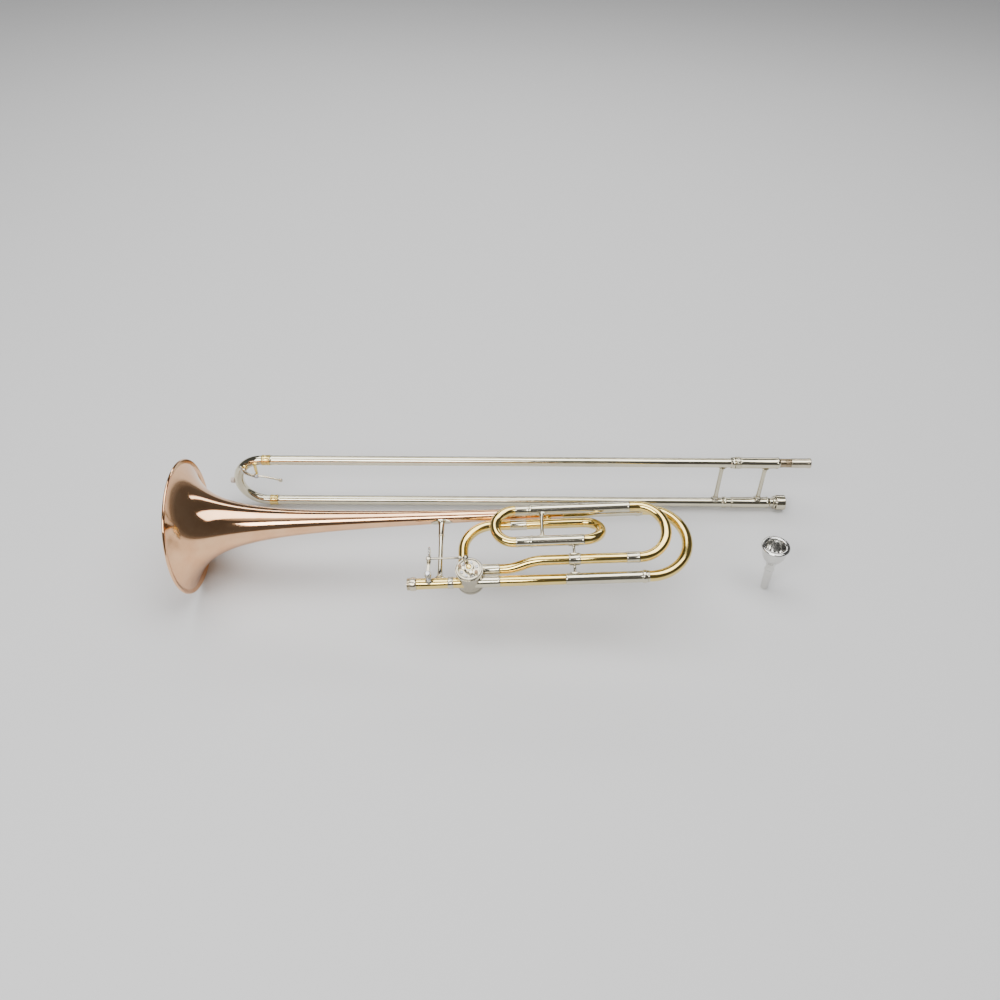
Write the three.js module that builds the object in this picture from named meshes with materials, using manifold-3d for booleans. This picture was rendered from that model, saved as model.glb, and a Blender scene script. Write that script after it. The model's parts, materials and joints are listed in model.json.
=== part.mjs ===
// Tenor trombone in B flat with an F attachment, taken apart into its three pieces:
// the bell section lies level, the hand slide stands on edge behind it, and the
// mouthpiece stands on its shank. Millimetres, +Z up, floor at z = 0.
//
// Inside the bell section's group, +X runs along the bell's axis from the rim to the
// player's end, -Y points to the neckpipe, and +Z is square to the plane of both.
import * as THREE from 'three';
import Module from 'manifold-3d';
import { mergeVertices } from 'three/addons/utils/BufferGeometryUtils.js';

const wasm = await Module();
wasm.setup();

// ---------------------------------------------------------------- driving dimensions
const GAP = 0.3;                       // clearance between neighbouring pieces
const SIDES = 12;                      // facets round a tube

const BELL = { rim: 92, decay: 0.9, throat: 29.2, wall: 1.0, wire: 2.0, tailEnd: 510 };
const SECTION = { x: -430, y: -18, tilt: 10, pitch: 3.4 };   // degrees

const LEG = -104;                      // the neckpipe and lower leg line, below the bell axis
const SLEEVE = { outer: 7.6, bore: 7.0, start: 510.3, end: 614 };
const TUBE = { outer: 6.8, bore: 6.1 };
const BOW_TUBE = { outer: 7.1, bore: 6.0 };
const INNER_LEG = { outer: 6.65, bore: 6.0 };

const COLLAR = { start: 306, end: 318, outer: 8.9, bore: 7.5 };
const VALVE = { x: 387, y: -95, radius: 17.5, bore: 15.6, half: 16, port: 9 };
const ROTOR = { radius: 15.2, half: 14, channel: 5.4, spindle: 3.0 };
const PLATE = { thick: 2.7, radius: 17.0 };
const STOP = { bottom: 19.4, top: 23.2, reach: 11, rest: 110, heel: 9 };
const BUMPER = { reach: 12, radius: 3.0, nearTurn: 212, farTurn: 58 };
const LEVER = { x: 335, y: LEG, fork: 20, forkRest: 87.886, paddle: 32, paddleRest: 88,
  paddleRadius: 8.5, bottom: 20.3, top: 24.4 };
const ROD = { level: 28.2, radius: 1.5, eye: 3.3, ball: 3.8 };

const F_TOP = { y: -8, z: 20 };        // upper run of the F loop
const F_LOW = { y: -58, z: 20 };       // lower run of the F loop
const F_BACK = { y: -81, z: 10 };      // return run
const F_MID = { y: -17, z: 0 };        // middle run, beside the bell tail
const F_SLEEVE = { outer: 7.3, bore: 6.75 };
const F_LEG = { outer: 6.4, bore: 5.8 };
const F_BOW = { outer: 6.8, bore: 5.8 };

const SLIDE = { y: 118, low: 12.5, spacing: 80 };
const CROOK_X = -352;                  // where the crook's bend starts
const OUTER = { start: -339.7, end: 398, outer: 7.0, bore: 6.45 };
const OUTER_RING = { start: 334, end: 340, outer: 8.9 };
const INNER = { start: -336, end: 399.7, outer: 6.1, bore: 5.4 };
const BARREL = { start: 348, end: 406, outer: 8.3, bore: 7.35 };
const LOCK_RING = { start: 340.4, end: 347.6, outer: 9.4, bore: 7.5 };
const RECEIVER_END = 451;
const TENON = { end: 440, shoulder: 414 };
const LOCK_NUT = { start: 415.5, end: 429.5, outer: 11.6, bore: 8.6 };

const MOUTHPIECE = { x: 370, y: -41, height: 85, rim: 19.5 };

// ---------------------------------------------------------------- materials
const finish = (name, color, roughness, metalness = 1) =>
  new THREE.MeshStandardMaterial({ name, color, roughness, metalness });
const roseBrass = finish('rose_brass', 0xd08a5c, 0.22);
const yellowBrass = finish('yellow_brass', 0xd6a751, 0.2);
const nickel = finish('nickel_silver', 0xcfcabd, 0.25);
const chrome = finish('chrome_plate', 0xdfe3e6, 0.12);
const silver = finish('silver_plate', 0xe4e2dc, 0.15);
const steel = finish('steel', 0xb9bbbd, 0.35);
const rubber = finish('rubber', 0x3a3531, 0.8, 0);
const cork = finish('cork', 0xb98a5a, 0.9, 0);

// ---------------------------------------------------------------- solids
const rad = THREE.MathUtils.degToRad;

/** Closed manifold solid of a three.js geometry. */
function solid(geometry) {
  const bare = geometry.index ? geometry.toNonIndexed() : geometry.clone();
  bare.deleteAttribute('normal');
  bare.deleteAttribute('uv');
  const joined = mergeVertices(bare, 1e-4);
  return new wasm.Manifold(new wasm.Mesh({
    numProp: 3,
    vertProperties: new Float32Array(joined.attributes.position.array),
    triVerts: new Uint32Array(joined.index.array),
  }));
}

/** three.js geometry of a manifold solid. */
function skin(body) {
  const mesh = body.getMesh();
  const geometry = new THREE.BufferGeometry();
  geometry.setAttribute('position', new THREE.BufferAttribute(mesh.vertProperties, 3));
  geometry.setIndex(new THREE.BufferAttribute(mesh.triVerts, 1));
  geometry.computeVertexNormals();
  return geometry;
}

/** Solid turned about the X axis from [x, radius] points; the outline closes on itself. */
function turned(outline, sides = SIDES) {
  const points = outline.map(([x, r]) => new THREE.Vector2(r, x));
  points.push(points[0].clone());
  const geometry = new THREE.LatheGeometry(points, sides);
  geometry.rotateZ(-Math.PI / 2);
  const body = solid(geometry);
  return body.volume() < 0 ? solid(flipped(geometry)) : body;
}

/** The same geometry with its faces turned over. */
function flipped(geometry) {
  const copy = geometry.clone();
  const index = copy.index.array;
  for (let i = 0; i < index.length; i += 3) [index[i], index[i + 1]] = [index[i + 1], index[i]];
  return copy;
}

/** Straight hollow tube along X from [x, outer radius] points with one bore. */
function pipe(outside, bore, sides = SIDES) {
  const first = outside[0][0];
  const last = outside[outside.length - 1][0];
  return turned([...outside, [last, bore], [first, bore]], sides);
}

const plainPipe = (start, end, outer, bore) => pipe([[start, outer], [end, outer]], bore);

/** Solid cylinder between two points. */
function rod(from, to, radius, sides = SIDES, radiusTo = radius) {
  const a = new THREE.Vector3(...from);
  const b = new THREE.Vector3(...to);
  const axis = b.clone().sub(a);
  const geometry = new THREE.CylinderGeometry(radiusTo, radius, axis.length(), sides);
  geometry.applyQuaternion(new THREE.Quaternion().setFromUnitVectors(
    new THREE.Vector3(0, 1, 0), axis.clone().normalize()));
  geometry.translate(...a.add(b).multiplyScalar(0.5).toArray());
  return solid(geometry);
}

/** Arc in space: centre + radius * (cos * u + sin * v), from angle a0 to a1. */
class SpaceArc extends THREE.Curve {
  constructor(centre, u, v, radius, a0, a1) {
    super();
    Object.assign(this, { centre, u, v, radius, a0, a1 });
  }
  getPoint(t, target = new THREE.Vector3()) {
    const angle = this.a0 + (this.a1 - this.a0) * t;
    return target.copy(this.centre)
      .addScaledVector(this.u, this.radius * Math.cos(angle))
      .addScaledVector(this.v, this.radius * Math.sin(angle));
  }
}

/** Hollow or solid tube swept along a curve. */
function swept(curve, outer, bore, steps) {
  const section = new THREE.Shape().absarc(0, 0, outer, 0, 2 * Math.PI);
  if (bore) section.holes.push(new THREE.Path().absarc(0, 0, bore, 0, 2 * Math.PI, true));
  const options = { steps, extrudePath: curve, curveSegments: SIDES / 2, bevelEnabled: false };
  return solid(new THREE.ExtrudeGeometry(section, options));
}

/** Half-circle bend between two points, bulging towards +X or -X. */
function halfTurn(from, to, side) {
  const a = new THREE.Vector3(...from);
  const b = new THREE.Vector3(...to);
  const centre = a.clone().add(b).multiplyScalar(0.5);
  const u = a.clone().sub(centre).normalize();
  return new SpaceArc(centre, u, new THREE.Vector3(side, 0, 0), a.distanceTo(centre), 0, Math.PI);
}

/** Path made of curves and of [x, y, z] points joined by straight lines. */
function path(...pieces) {
  const whole = new THREE.CurvePath();
  pieces.forEach((piece) => whole.add(piece));
  return whole;
}
const line = (a, b) => new THREE.LineCurve3(new THREE.Vector3(...a), new THREE.Vector3(...b));
const union = (...bodies) => wasm.Manifold.union(bodies);
const shifted = (body, y, z) => body.translate([0, y, z]);

/** Brace between two points, with a foot at each end, trimmed to clear the tubes it joins.
 *  A sleeved brace is thicker over its first quarter. */
function brace(from, to, radius, foot, trims, sleeved = false) {
  const a = new THREE.Vector3(...from);
  const b = new THREE.Vector3(...to);
  const at = (t) => a.clone().lerp(b, t).toArray();
  const flare = foot.depth / a.distanceTo(b);
  const bodies = [
    rod(from, to, radius),
    rod(from, at(foot.start + flare), foot.radius, SIDES, radius + 0.2),
    rod(to, at(1 - foot.start - flare), foot.radius, SIDES, radius + 0.2),
  ];
  if (sleeved) bodies.push(rod(from, at(0.27), radius + 0.8));
  return trims.reduce((body, trim) => body.subtract(trim), union(...bodies));
}

/** Tube-shaped cutter along X that leaves the usual gap. */
const around = (y, z, radius, x0 = -500, x1 = 700) =>
  shifted(turned([[x0, 0], [x0, radius + GAP], [x1, radius + GAP], [x1, 0]], 24), y, z);

// ---------------------------------------------------------------- assembly
const trombone = new THREE.Group();
const bellSection = new THREE.Group();
bellSection.rotation.set(rad(SECTION.tilt), -rad(SECTION.pitch), 0, 'YXZ');
bellSection.position.set(SECTION.x, SECTION.y,
  (BELL.rim + 0.1) * Math.cos(rad(SECTION.pitch)));
const handSlide = new THREE.Group();
handSlide.position.set(0, SLIDE.y, SLIDE.low);
trombone.add(bellSection, handSlide);

function add(group, name, body, material) {
  const mesh = new THREE.Mesh(skin(body), material);
  mesh.name = name;
  group.add(mesh);
}

// ---------------------------------------------------------------- bell
const bellRadius = (x) => BELL.rim * (BELL.throat / (BELL.throat + x)) ** BELL.decay;

function bell() {
  const outside = [];
  const count = 15;
  const flareStart = 2.4;
  for (let i = 0; i <= count; i += 1) {
    const x = flareStart + (BELL.tailEnd - flareStart) * (i / count) ** 2.2;
    outside.push([x, bellRadius(x)]);
  }
  const inside = outside.map(([x, r]) => {
    const slope = (bellRadius(x + 0.5) - bellRadius(x - 0.5));
    const length = Math.hypot(1, slope);
    return [x + BELL.wall * slope / length, r - BELL.wall / length];
  }).reverse();
  inside[0][0] = BELL.tailEnd;
  const wire = [];
  for (let i = 0; i <= 6; i += 1) {
    const angle = rad(-70 + i * 40);
    wire.push([BELL.wire - BELL.wire * Math.sin(angle),
      BELL.rim - BELL.wire + BELL.wire * Math.cos(angle)]);
  }
  return turned([...outside, ...inside, ...wire.reverse()], 32);
}
add(bellSection, 'bell', bell(), roseBrass);

function tuningSleeve(y) {
  const lip = 2.2;
  return shifted(pipe([[SLEEVE.start, SLEEVE.outer], [SLEEVE.end - 5, SLEEVE.outer],
    [SLEEVE.end - 5, SLEEVE.outer + 0.9], [SLEEVE.end - 5 + lip, SLEEVE.outer + 1.1],
    [SLEEVE.end, SLEEVE.outer + 0.7]], SLEEVE.bore), y, 0);
}
add(bellSection, 'upper_tuning_sleeve', tuningSleeve(0), nickel);
add(bellSection, 'lower_tuning_sleeve', tuningSleeve(LEG), nickel);

// ---------------------------------------------------------------- neckpipe and valve
add(bellSection, 'slide_receiver_collar', shifted(pipe([
  [COLLAR.start, COLLAR.outer - 1.2], [COLLAR.start + 1.5, COLLAR.outer - 0.1],
  [COLLAR.start + 6, COLLAR.outer], [COLLAR.end - 1.5, COLLAR.outer - 0.5],
  [COLLAR.end, COLLAR.outer - 1.2]], COLLAR.bore - 0.6), LEG, 0), nickel);

const PORT_CUT = 40;                   // long enough to pass through the valve's wall
const valveCut = rod([VALVE.x, VALVE.y, -60], [VALVE.x, VALVE.y, 60], VALVE.radius + GAP, 32);
const portX = VALVE.x - VALVE.port;
const backY = VALVE.y + VALVE.port;
const lastNeckX = VALVE.x - 8;

add(bellSection, 'neckpipe', shifted(pipe([
  [COLLAR.end + GAP, 7.4], [345, 7.1], [354, 7.0], [360, 7.0], [360, 7.8], [364, 7.8],
  [364, 6.9], [lastNeckX, 6.9]], 5.9), LEG, 0).subtract(valveCut), yellowBrass);

function valveCasing() {
  const { x, y, radius, bore, half } = VALVE;
  const rim = 1.1;
  const outer = union(
    rod([x, y, -half], [x, y, half], radius, 32),
    rod([x, y, half - 4], [x, y, half], radius + rim * 0.5, 32),
  );
  const ports = union(
    rod([x - PORT_CUT, LEG, 0], [x + PORT_CUT, LEG, 0], TUBE.bore),
    rod([x, backY, 0], [x + PORT_CUT, backY, 0], TUBE.bore),
    rod([portX, y, 0], [portX, y + PORT_CUT, 0], TUBE.bore),
  );
  return outer.subtract(rod([x, y, -half - 1], [x, y, half + 1], bore, 32)).subtract(ports);
}
add(bellSection, 'valve_casing', valveCasing(), nickel);

function valveBottomCap() {
  const { x, y, half } = VALVE;
  const rimLow = -(half + GAP + 2.2);
  const domeLow = -(half + GAP + 4.2);
  const buttonLow = -(half + GAP + 5);
  return union(
    rod([x, y, -half - GAP], [x, y, rimLow], PLATE.radius, 32),
    rod([x, y, rimLow], [x, y, domeLow], PLATE.radius, 32, 11),
    rod([x, y, domeLow], [x, y, buttonLow], 3.6, 24),
  );
}
add(bellSection, 'valve_bottom_cap', valveBottomCap(), nickel);

const plateLow = VALVE.half + GAP;
const plateTop = plateLow + PLATE.thick;
function stopPlate() {
  const { x, y } = VALVE;
  const disc = union(
    rod([x, y, plateLow], [x, y, plateTop - 0.8], PLATE.radius, 32),
    rod([x, y, plateTop - 0.8], [x, y, plateTop], PLATE.radius, 32, PLATE.radius - 1),
  );
  return disc.subtract(rod([x, y, 0], [x, y, 40], ROTOR.spindle + GAP, 24));
}
add(bellSection, 'stop_plate', stopPlate(), nickel);

/** Point of the plane at a radius and an angle from a pivot. */
function polar(pivot, radius, angle) {
  return [pivot.x + radius * Math.cos(rad(angle)), pivot.y + radius * Math.sin(rad(angle))];
}

/** Upright disc, or cone, between two heights. */
const disc = (at, radius, low, high, sides = 20, radiusTop = radius) =>
  rod([...at, low], [...at, high], radius, sides, radiusTop);

/** Rubber bumper that the stop arm's heel meets at one end of its travel. */
function bumper(turn) {
  const at = polar(VALVE, BUMPER.reach, STOP.rest + turn);
  const shoulder = plateTop + 3.4;
  return union(
    disc(at, BUMPER.radius, plateTop + GAP, shoulder),
    disc(at, BUMPER.radius, shoulder, shoulder + 0.6, 20, BUMPER.radius - 0.8),
  );
}
add(bellSection, 'stop_bumper_near', bumper(BUMPER.nearTurn), rubber);
add(bellSection, 'stop_bumper_far', bumper(BUMPER.farTurn), rubber);

// ---------------------------------------------------------------- lower leg
add(bellSection, 'lower_leg_tube', shifted(pipe([
  [VALVE.x + 8, 7.5], [426, 7.5], [426, 7.0], [SLEEVE.start - GAP, 7.0]], 6.1), LEG, 0)
  .subtract(valveCut), yellowBrass);

// ---------------------------------------------------------------- F attachment
const gooseTurn = 38;
const gooseCentre = new THREE.Vector3(portX + gooseTurn, F_MID.y - gooseTurn, 0);
const gooseEnd = 440;
add(bellSection, 'gooseneck', swept(path(
  line([portX, VALVE.y + 8, 0], [portX, gooseCentre.y, 0]),
  new SpaceArc(gooseCentre, new THREE.Vector3(-1, 0, 0), new THREE.Vector3(0, 1, 0),
    gooseTurn, 0, Math.PI / 2),
  line([gooseCentre.x, F_MID.y, 0], [gooseEnd, F_MID.y, 0]),
), TUBE.outer, TUBE.bore, 14).subtract(valveCut), yellowBrass);

const midEnd = 536;
add(bellSection, 'middle_run', shifted(pipe([
  [gooseEnd + GAP, 7.4], [462, 7.4], [462, TUBE.outer], [midEnd, TUBE.outer]], TUBE.bore),
F_MID.y, F_MID.z), yellowBrass);

const lowSleeveEnd = 535.7;
add(bellSection, 'small_bow', swept(
  halfTurn([midEnd + GAP, F_MID.y, F_MID.z], [midEnd + GAP, F_LOW.y, F_LOW.z], 1),
  TUBE.outer, TUBE.bore, 10), yellowBrass);

const F_SLIDE_X = 466;
function fSleeve(end, run) {
  const start = F_SLIDE_X + GAP;
  return shifted(pipe([[start, F_SLEEVE.outer + 0.5], [start + 1.2, F_SLEEVE.outer + 0.9],
    [start + 4, F_SLEEVE.outer + 0.9], [start + 4, F_SLEEVE.outer], [end, F_SLEEVE.outer]],
  F_SLEEVE.bore), run.y, run.z);
}
add(bellSection, 'lower_f_sleeve', fSleeve(lowSleeveEnd, F_LOW), nickel);
const topSleeveEnd = 598;
add(bellSection, 'upper_f_sleeve', fSleeve(topSleeveEnd, F_TOP), nickel);

const backEnd = 606;
const largeBow = path(
  line([topSleeveEnd + GAP, F_TOP.y, F_TOP.z], [backEnd, F_TOP.y, F_TOP.z]),
  halfTurn([backEnd, F_TOP.y, F_TOP.z], [backEnd, F_BACK.y, F_BACK.z], 1),
);
add(bellSection, 'large_bow', swept(largeBow, 7.0, 6.1, 14), yellowBrass);

const returnStart = 515;
add(bellSection, 'return_run', shifted(pipe([
  [returnStart, 7.5], [530, 7.5], [530, TUBE.outer], [589, TUBE.outer], [589, 7.5],
  [backEnd - GAP, 7.5]], TUBE.bore), F_BACK.y, F_BACK.z), yellowBrass);

const bendEnd = 426;
add(bellSection, 's_bend', swept(path(
  line([returnStart - GAP, F_BACK.y, F_BACK.z], [482, F_BACK.y, F_BACK.z]),
  new THREE.CubicBezierCurve3(new THREE.Vector3(482, F_BACK.y, F_BACK.z),
    new THREE.Vector3(460, F_BACK.y, F_BACK.z), new THREE.Vector3(452, backY, 0),
    new THREE.Vector3(430, backY, 0)),
  line([430, backY, 0], [bendEnd, backY, 0]),
), TUBE.outer, TUBE.bore, 14), yellowBrass);
add(bellSection, 'valve_return_ferrule', shifted(
  plainPipe(VALVE.x + 8, bendEnd - GAP, 7.4, TUBE.bore), backY, 0).subtract(valveCut), nickel);

// ---------------------------------------------------------------- braces
const bellBraceX = 348;
const smallFoot = { radius: 5.0, start: 0, depth: 3.5 };
function bellBrace() {
  const bellSide = bellRadius(bellBraceX);
  const from = [bellBraceX, -bellSide + 3, 0];
  const to = [bellBraceX, LEG + 4, 0];
  const foot = { radius: 6.2, start: 0.04, depth: 4 };
  const flare = [];
  for (let x = 300; x <= 400; x += 10) flare.push([x, bellRadius(x) + GAP]);
  const bellCut = turned([[300, 0], ...flare, [400, 0]], 36);
  return brace(from, to, 3.2, foot, [bellCut, around(LEG, 0, 7.15)], true);
}
add(bellSection, 'bell_brace', bellBrace(), nickel);

function runBrace(x, runA, radiusA, runB, radiusB) {
  const towards = new THREE.Vector2(runB.y - runA.y, runB.z - runA.z).normalize();
  const inset = 5;
  return brace(
    [x, runA.y + towards.x * inset, runA.z + towards.y * inset],
    [x, runB.y - towards.x * inset, runB.z - towards.y * inset],
    2.3, smallFoot,
    [around(runA.y, runA.z, radiusA), around(runB.y, runB.z, radiusB)]);
}
const legLine = { y: LEG, z: 0 };
add(bellSection, 'f_brace_upper', runBrace(482, F_TOP, 7.3, F_LOW, 7.3), nickel);
add(bellSection, 'f_brace_middle', runBrace(522, F_LOW, 7.3, F_BACK, 7.5), nickel);
add(bellSection, 'f_brace_lower', runBrace(522, F_BACK, 7.5, legLine, 7.6), nickel);

function shortPost(x, runA, radiusA, runB, radiusB, radius) {
  return rod([x, runA.y, runA.z], [x, runB.y, runB.z], radius, 20)
    .subtract(around(runA.y, runA.z, radiusA)).subtract(around(runB.y, runB.z, radiusB));
}
const axisLine = { y: 0, z: 0 };
add(bellSection, 'tail_knob', shortPost(490, axisLine, bellRadius(490), F_MID, 6.8, 3.6), nickel);
add(bellSection, 'tail_flange', shortPost(556, axisLine, 7.6, F_TOP, 7.3, 4.4), nickel);

const postTop = LEVER.bottom - GAP;
add(bellSection, 'lever_post', union(
  rod([LEVER.x, LEVER.y, 0], [LEVER.x, LEVER.y, postTop], 2.9, 20),
  rod([LEVER.x, LEVER.y, 0], [LEVER.x, LEVER.y, 10.5], 5.4, 20, 3.0),
).subtract(around(LEG, 0, 7.4)), nickel);

// ---------------------------------------------------------------- rotor, stop arm, lever, rod
function rotor() {
  const { x, y } = VALVE;
  const { radius, half, channel, spindle } = ROTOR;
  const drum = union(
    rod([x, y, -half], [x, y, half], radius, 32),
    rod([x, y, half - 1], [x, y, STOP.top + 0.2], spindle, 20),
  );
  const passages = union(
    rod([x - PORT_CUT, LEG, 0], [x + PORT_CUT, LEG, 0], channel),
    rod([x - PORT_CUT, backY, 0], [x + PORT_CUT, backY, 0], channel),
  );
  return drum.subtract(passages);
}
add(bellSection, 'rotor', rotor(), yellowBrass);

/** Flat bar between two points of the plane, from one height to another. */
function bar(from, to, width, low, high) {
  const length = Math.hypot(to[0] - from[0], to[1] - from[1]);
  const box = new THREE.BoxGeometry(length, width, high - low);
  box.rotateZ(Math.atan2(to[1] - from[1], to[0] - from[0]));
  box.translate((from[0] + to[0]) / 2, (from[1] + to[1]) / 2, (low + high) / 2);
  return solid(box);
}
function stopArm() {
  const hub = [VALVE.x, VALVE.y];
  const pin = polar(VALVE, STOP.reach, STOP.rest);
  const heel = polar(VALVE, STOP.heel, STOP.rest + 180);
  return union(
    disc(hub, 6.2, STOP.bottom, STOP.top, 24),
    bar(hub, pin, 5, STOP.bottom + 0.4, STOP.top - 0.4),
    disc(pin, 3.4, STOP.bottom + 0.4, STOP.top - 0.4),
    disc(pin, 1.9, STOP.bottom + 1, ROD.level - 3.2, 16),
    bar(hub, heel, 4.4, STOP.bottom + 0.4, STOP.top - 0.4),
  ).subtract(disc(hub, ROTOR.spindle + GAP, 0, 40, 24));
}
add(bellSection, 'stop_arm', stopArm(), nickel);
add(bellSection, 'stop_arm_screw', union(
  disc([VALVE.x, VALVE.y], 3.8, STOP.top + 0.2 + GAP, STOP.top + 1.6, 24),
  disc([VALVE.x, VALVE.y], 2.8, STOP.top + 1.4, STOP.top + 2.1, 24),
), steel);

const forkAt = polar(LEVER, LEVER.fork, LEVER.forkRest);
function thumbLever() {
  const hub = [LEVER.x, LEVER.y];
  const neck = polar(LEVER, LEVER.paddle - LEVER.paddleRadius - 0.8, LEVER.paddleRest);
  return union(
    disc(hub, 4.6, LEVER.bottom, LEVER.top),
    bar(hub, forkAt, 4.4, LEVER.bottom + 0.5, LEVER.top - 0.5),
    bar(hub, neck, 4.0, LEVER.bottom + 0.5, LEVER.top - 0.5),
    disc(forkAt, 3.2, LEVER.bottom + 0.5, LEVER.top - 0.5),
  ).subtract(disc(hub, 2.3, 0, 40));
}
add(bellSection, 'thumb_lever', thumbLever(), nickel);

function thumbPaddle() {
  const [x, y] = polar(LEVER, LEVER.paddle, LEVER.paddleRest);
  const level = (LEVER.bottom + LEVER.top) / 2;
  const { paddleRadius } = LEVER;
  return union(
    rod([x - 1.3, y, level], [x + 0.4, y, level], paddleRadius - 0.8, 28, paddleRadius),
    rod([x + 0.4, y, level], [x + 1.4, y, level], paddleRadius, 28, paddleRadius - 1),
  );
}
add(bellSection, 'thumb_paddle', thumbPaddle(), silver);

add(bellSection, 'lever_hinge_screw', union(
  disc([LEVER.x, LEVER.y], 1.9, LEVER.bottom, LEVER.top + 0.5, 16),
  disc([LEVER.x, LEVER.y], 3.6, LEVER.top + GAP, LEVER.top + 2.0),
), steel);

const rodEnd = polar(VALVE, STOP.reach, STOP.rest);
function linkageRod() {
  const from = new THREE.Vector3(...forkAt, ROD.level);
  const to = new THREE.Vector3(...rodEnd, ROD.level);
  const at = (t) => from.clone().lerp(to, t).toArray();
  const top = ROD.level + 2.2;
  return union(
    rod(at(0.03), at(0.97), ROD.radius),
    rod(at(0.8), at(0.92), ROD.radius + 1.1),
    disc(forkAt, ROD.eye, LEVER.top + GAP, top),
    disc(rodEnd, ROD.ball, ROD.level - 2.8, top),
    disc(rodEnd, ROD.ball, top, top + 1.2, 20, ROD.ball - 1.4),
  );
}
add(bellSection, 'linkage_rod', linkageRod(), nickel);

// ---------------------------------------------------------------- the two tuning slides
function tuningBow(x, upper, lower, side, straight, legLength, leg, bow, steps) {
  const stub = side * straight;
  const start = x + side * GAP;
  const bend = swept(path(
    line([start, upper.y, upper.z], [start + stub, upper.y, upper.z]),
    halfTurn([start + stub, upper.y, upper.z], [start + stub, lower.y, lower.z], side),
    line([start + stub, lower.y, lower.z], [start, lower.y, lower.z]),
  ), bow.outer, bow.bore, steps);
  const tail = start + side * 3;
  const legTube = (run, length) => {
    const ends = [start - side * length, tail].sort((p, q) => p - q);
    return shifted(plainPipe(ends[0], ends[1], leg.outer, leg.bore), run.y, run.z);
  };
  return union(bend, legTube(upper, legLength), legTube(lower, legLength));
}
add(bellSection, 'main_tuning_slide', tuningBow(
  SLEEVE.end, axisLine, legLine, 1, 4, 96, INNER_LEG, BOW_TUBE, 18), yellowBrass);

add(bellSection, 'f_tuning_slide', tuningBow(
  F_SLIDE_X, F_TOP, F_LOW, -1, 20, 60, F_LEG, F_BOW, 16), yellowBrass);

// ---------------------------------------------------------------- hand slide
const upper = SLIDE.spacing;
function bothRuns(name, make, material) {
  add(handSlide, `${name}_upper`, shifted(make('upper'), 0, upper), material);
  add(handSlide, `${name}_lower`, shifted(make('lower'), 0, 0), material);
}

bothRuns('outer_tube', () => pipe([
  [OUTER.start, OUTER.outer + 0.8], [OUTER.start + 2, OUTER.outer + 0.8],
  [OUTER.start + 2, OUTER.outer], [OUTER_RING.start, OUTER.outer],
  [OUTER_RING.start, OUTER_RING.outer - 0.3], [OUTER_RING.start + 1, OUTER_RING.outer],
  [OUTER_RING.end - 1, OUTER_RING.outer], [OUTER_RING.end, OUTER_RING.outer - 0.3],
  [OUTER_RING.end, OUTER.outer], [OUTER.end, OUTER.outer]], OUTER.bore), chrome);

bothRuns('crook_ferrule', () => pipe([
  [CROOK_X, 7.6], [CROOK_X + 1, 8.1], [CROOK_X + 2.6, 7.7], [OUTER.start - 3, 7.7],
  [OUTER.start - 1.6, 8.2], [OUTER.start - GAP, 7.8]], 6.0), yellowBrass);

add(handSlide, 'crook', swept(
  halfTurn([CROOK_X - GAP, 0, upper], [CROOK_X - GAP, 0, 0], -1), 7.0, 6.0, 16), nickel);

bothRuns('inner_tube', () => plainPipe(INNER.start, INNER.end, INNER.outer, INNER.bore), chrome);

bothRuns('cork_barrel', () => turned([
  [BARREL.start, BARREL.outer], [BARREL.end - 2, BARREL.outer], [BARREL.end, BARREL.outer - 1.4],
  [BARREL.end, INNER.bore], [BARREL.end - 6, INNER.bore], [BARREL.end - 6, BARREL.bore],
  [BARREL.start, BARREL.bore]]), nickel);

function slideBrace(x, radius) {
  const foot = { radius: 6.4, start: 0.06, depth: 5 };
  return brace([x, 0, 4], [x, 0, upper - 4], 3.1, foot,
    [around(0, 0, radius), around(0, upper, radius)]);
}
add(handSlide, 'outer_brace', slideBrace(323, OUTER.outer), nickel);
add(handSlide, 'inner_brace', slideBrace(387, BARREL.outer), nickel);

function mouthpieceReceiver() {
  const start = BARREL.end + GAP;
  const ridges = [];
  for (let i = 0; i < 3; i += 1) {
    const x = start + 3 + i * 4;
    ridges.push([x, 6.3], [x + 0.6, 7.1], [x + 1.8, 7.1], [x + 2.4, 6.3]);
  }
  return turned([[start, 6.7], ...ridges, [start + 19, 6.3], [start + 20, 6.9],
    [RECEIVER_END - 4, 7.0], [RECEIVER_END - 3.4, 7.7], [RECEIVER_END - 0.6, 7.7],
    [RECEIVER_END, 7.3], [RECEIVER_END, 6.05], [RECEIVER_END - 38, 5.1], [start, 5.1]]);
}
add(handSlide, 'mouthpiece_receiver', shifted(mouthpieceReceiver(), 0, upper), nickel);

add(handSlide, 'tenon', pipe([
  [BARREL.end + GAP, 6.9], [BARREL.end + 5, 6.9], [BARREL.end + 5, 9.9],
  [TENON.shoulder, 9.9], [TENON.shoulder, 8.1], [TENON.end, 7.0]], 5.4), nickel);

function lockNut() {
  const teeth = 12;
  const { start, end, outer, bore } = LOCK_NUT;
  const middle = (start + end) / 2;
  let nut = turned([[start, outer - 0.8], [start + 1, outer], [end - 1, outer],
    [end, outer - 0.8], [end, bore], [start, bore]], 24);
  for (let i = 0; i < teeth; i += 1) {
    const angle = (i / teeth) * 2 * Math.PI;
    const at = [outer * 1.06 * Math.cos(angle), outer * 1.06 * Math.sin(angle)];
    nut = nut.subtract(rod([middle - 4.4, ...at], [middle + 4.4, ...at], 1.3, 8));
  }
  return nut;
}
add(handSlide, 'tenon_lock_nut', lockNut(), nickel);

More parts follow.
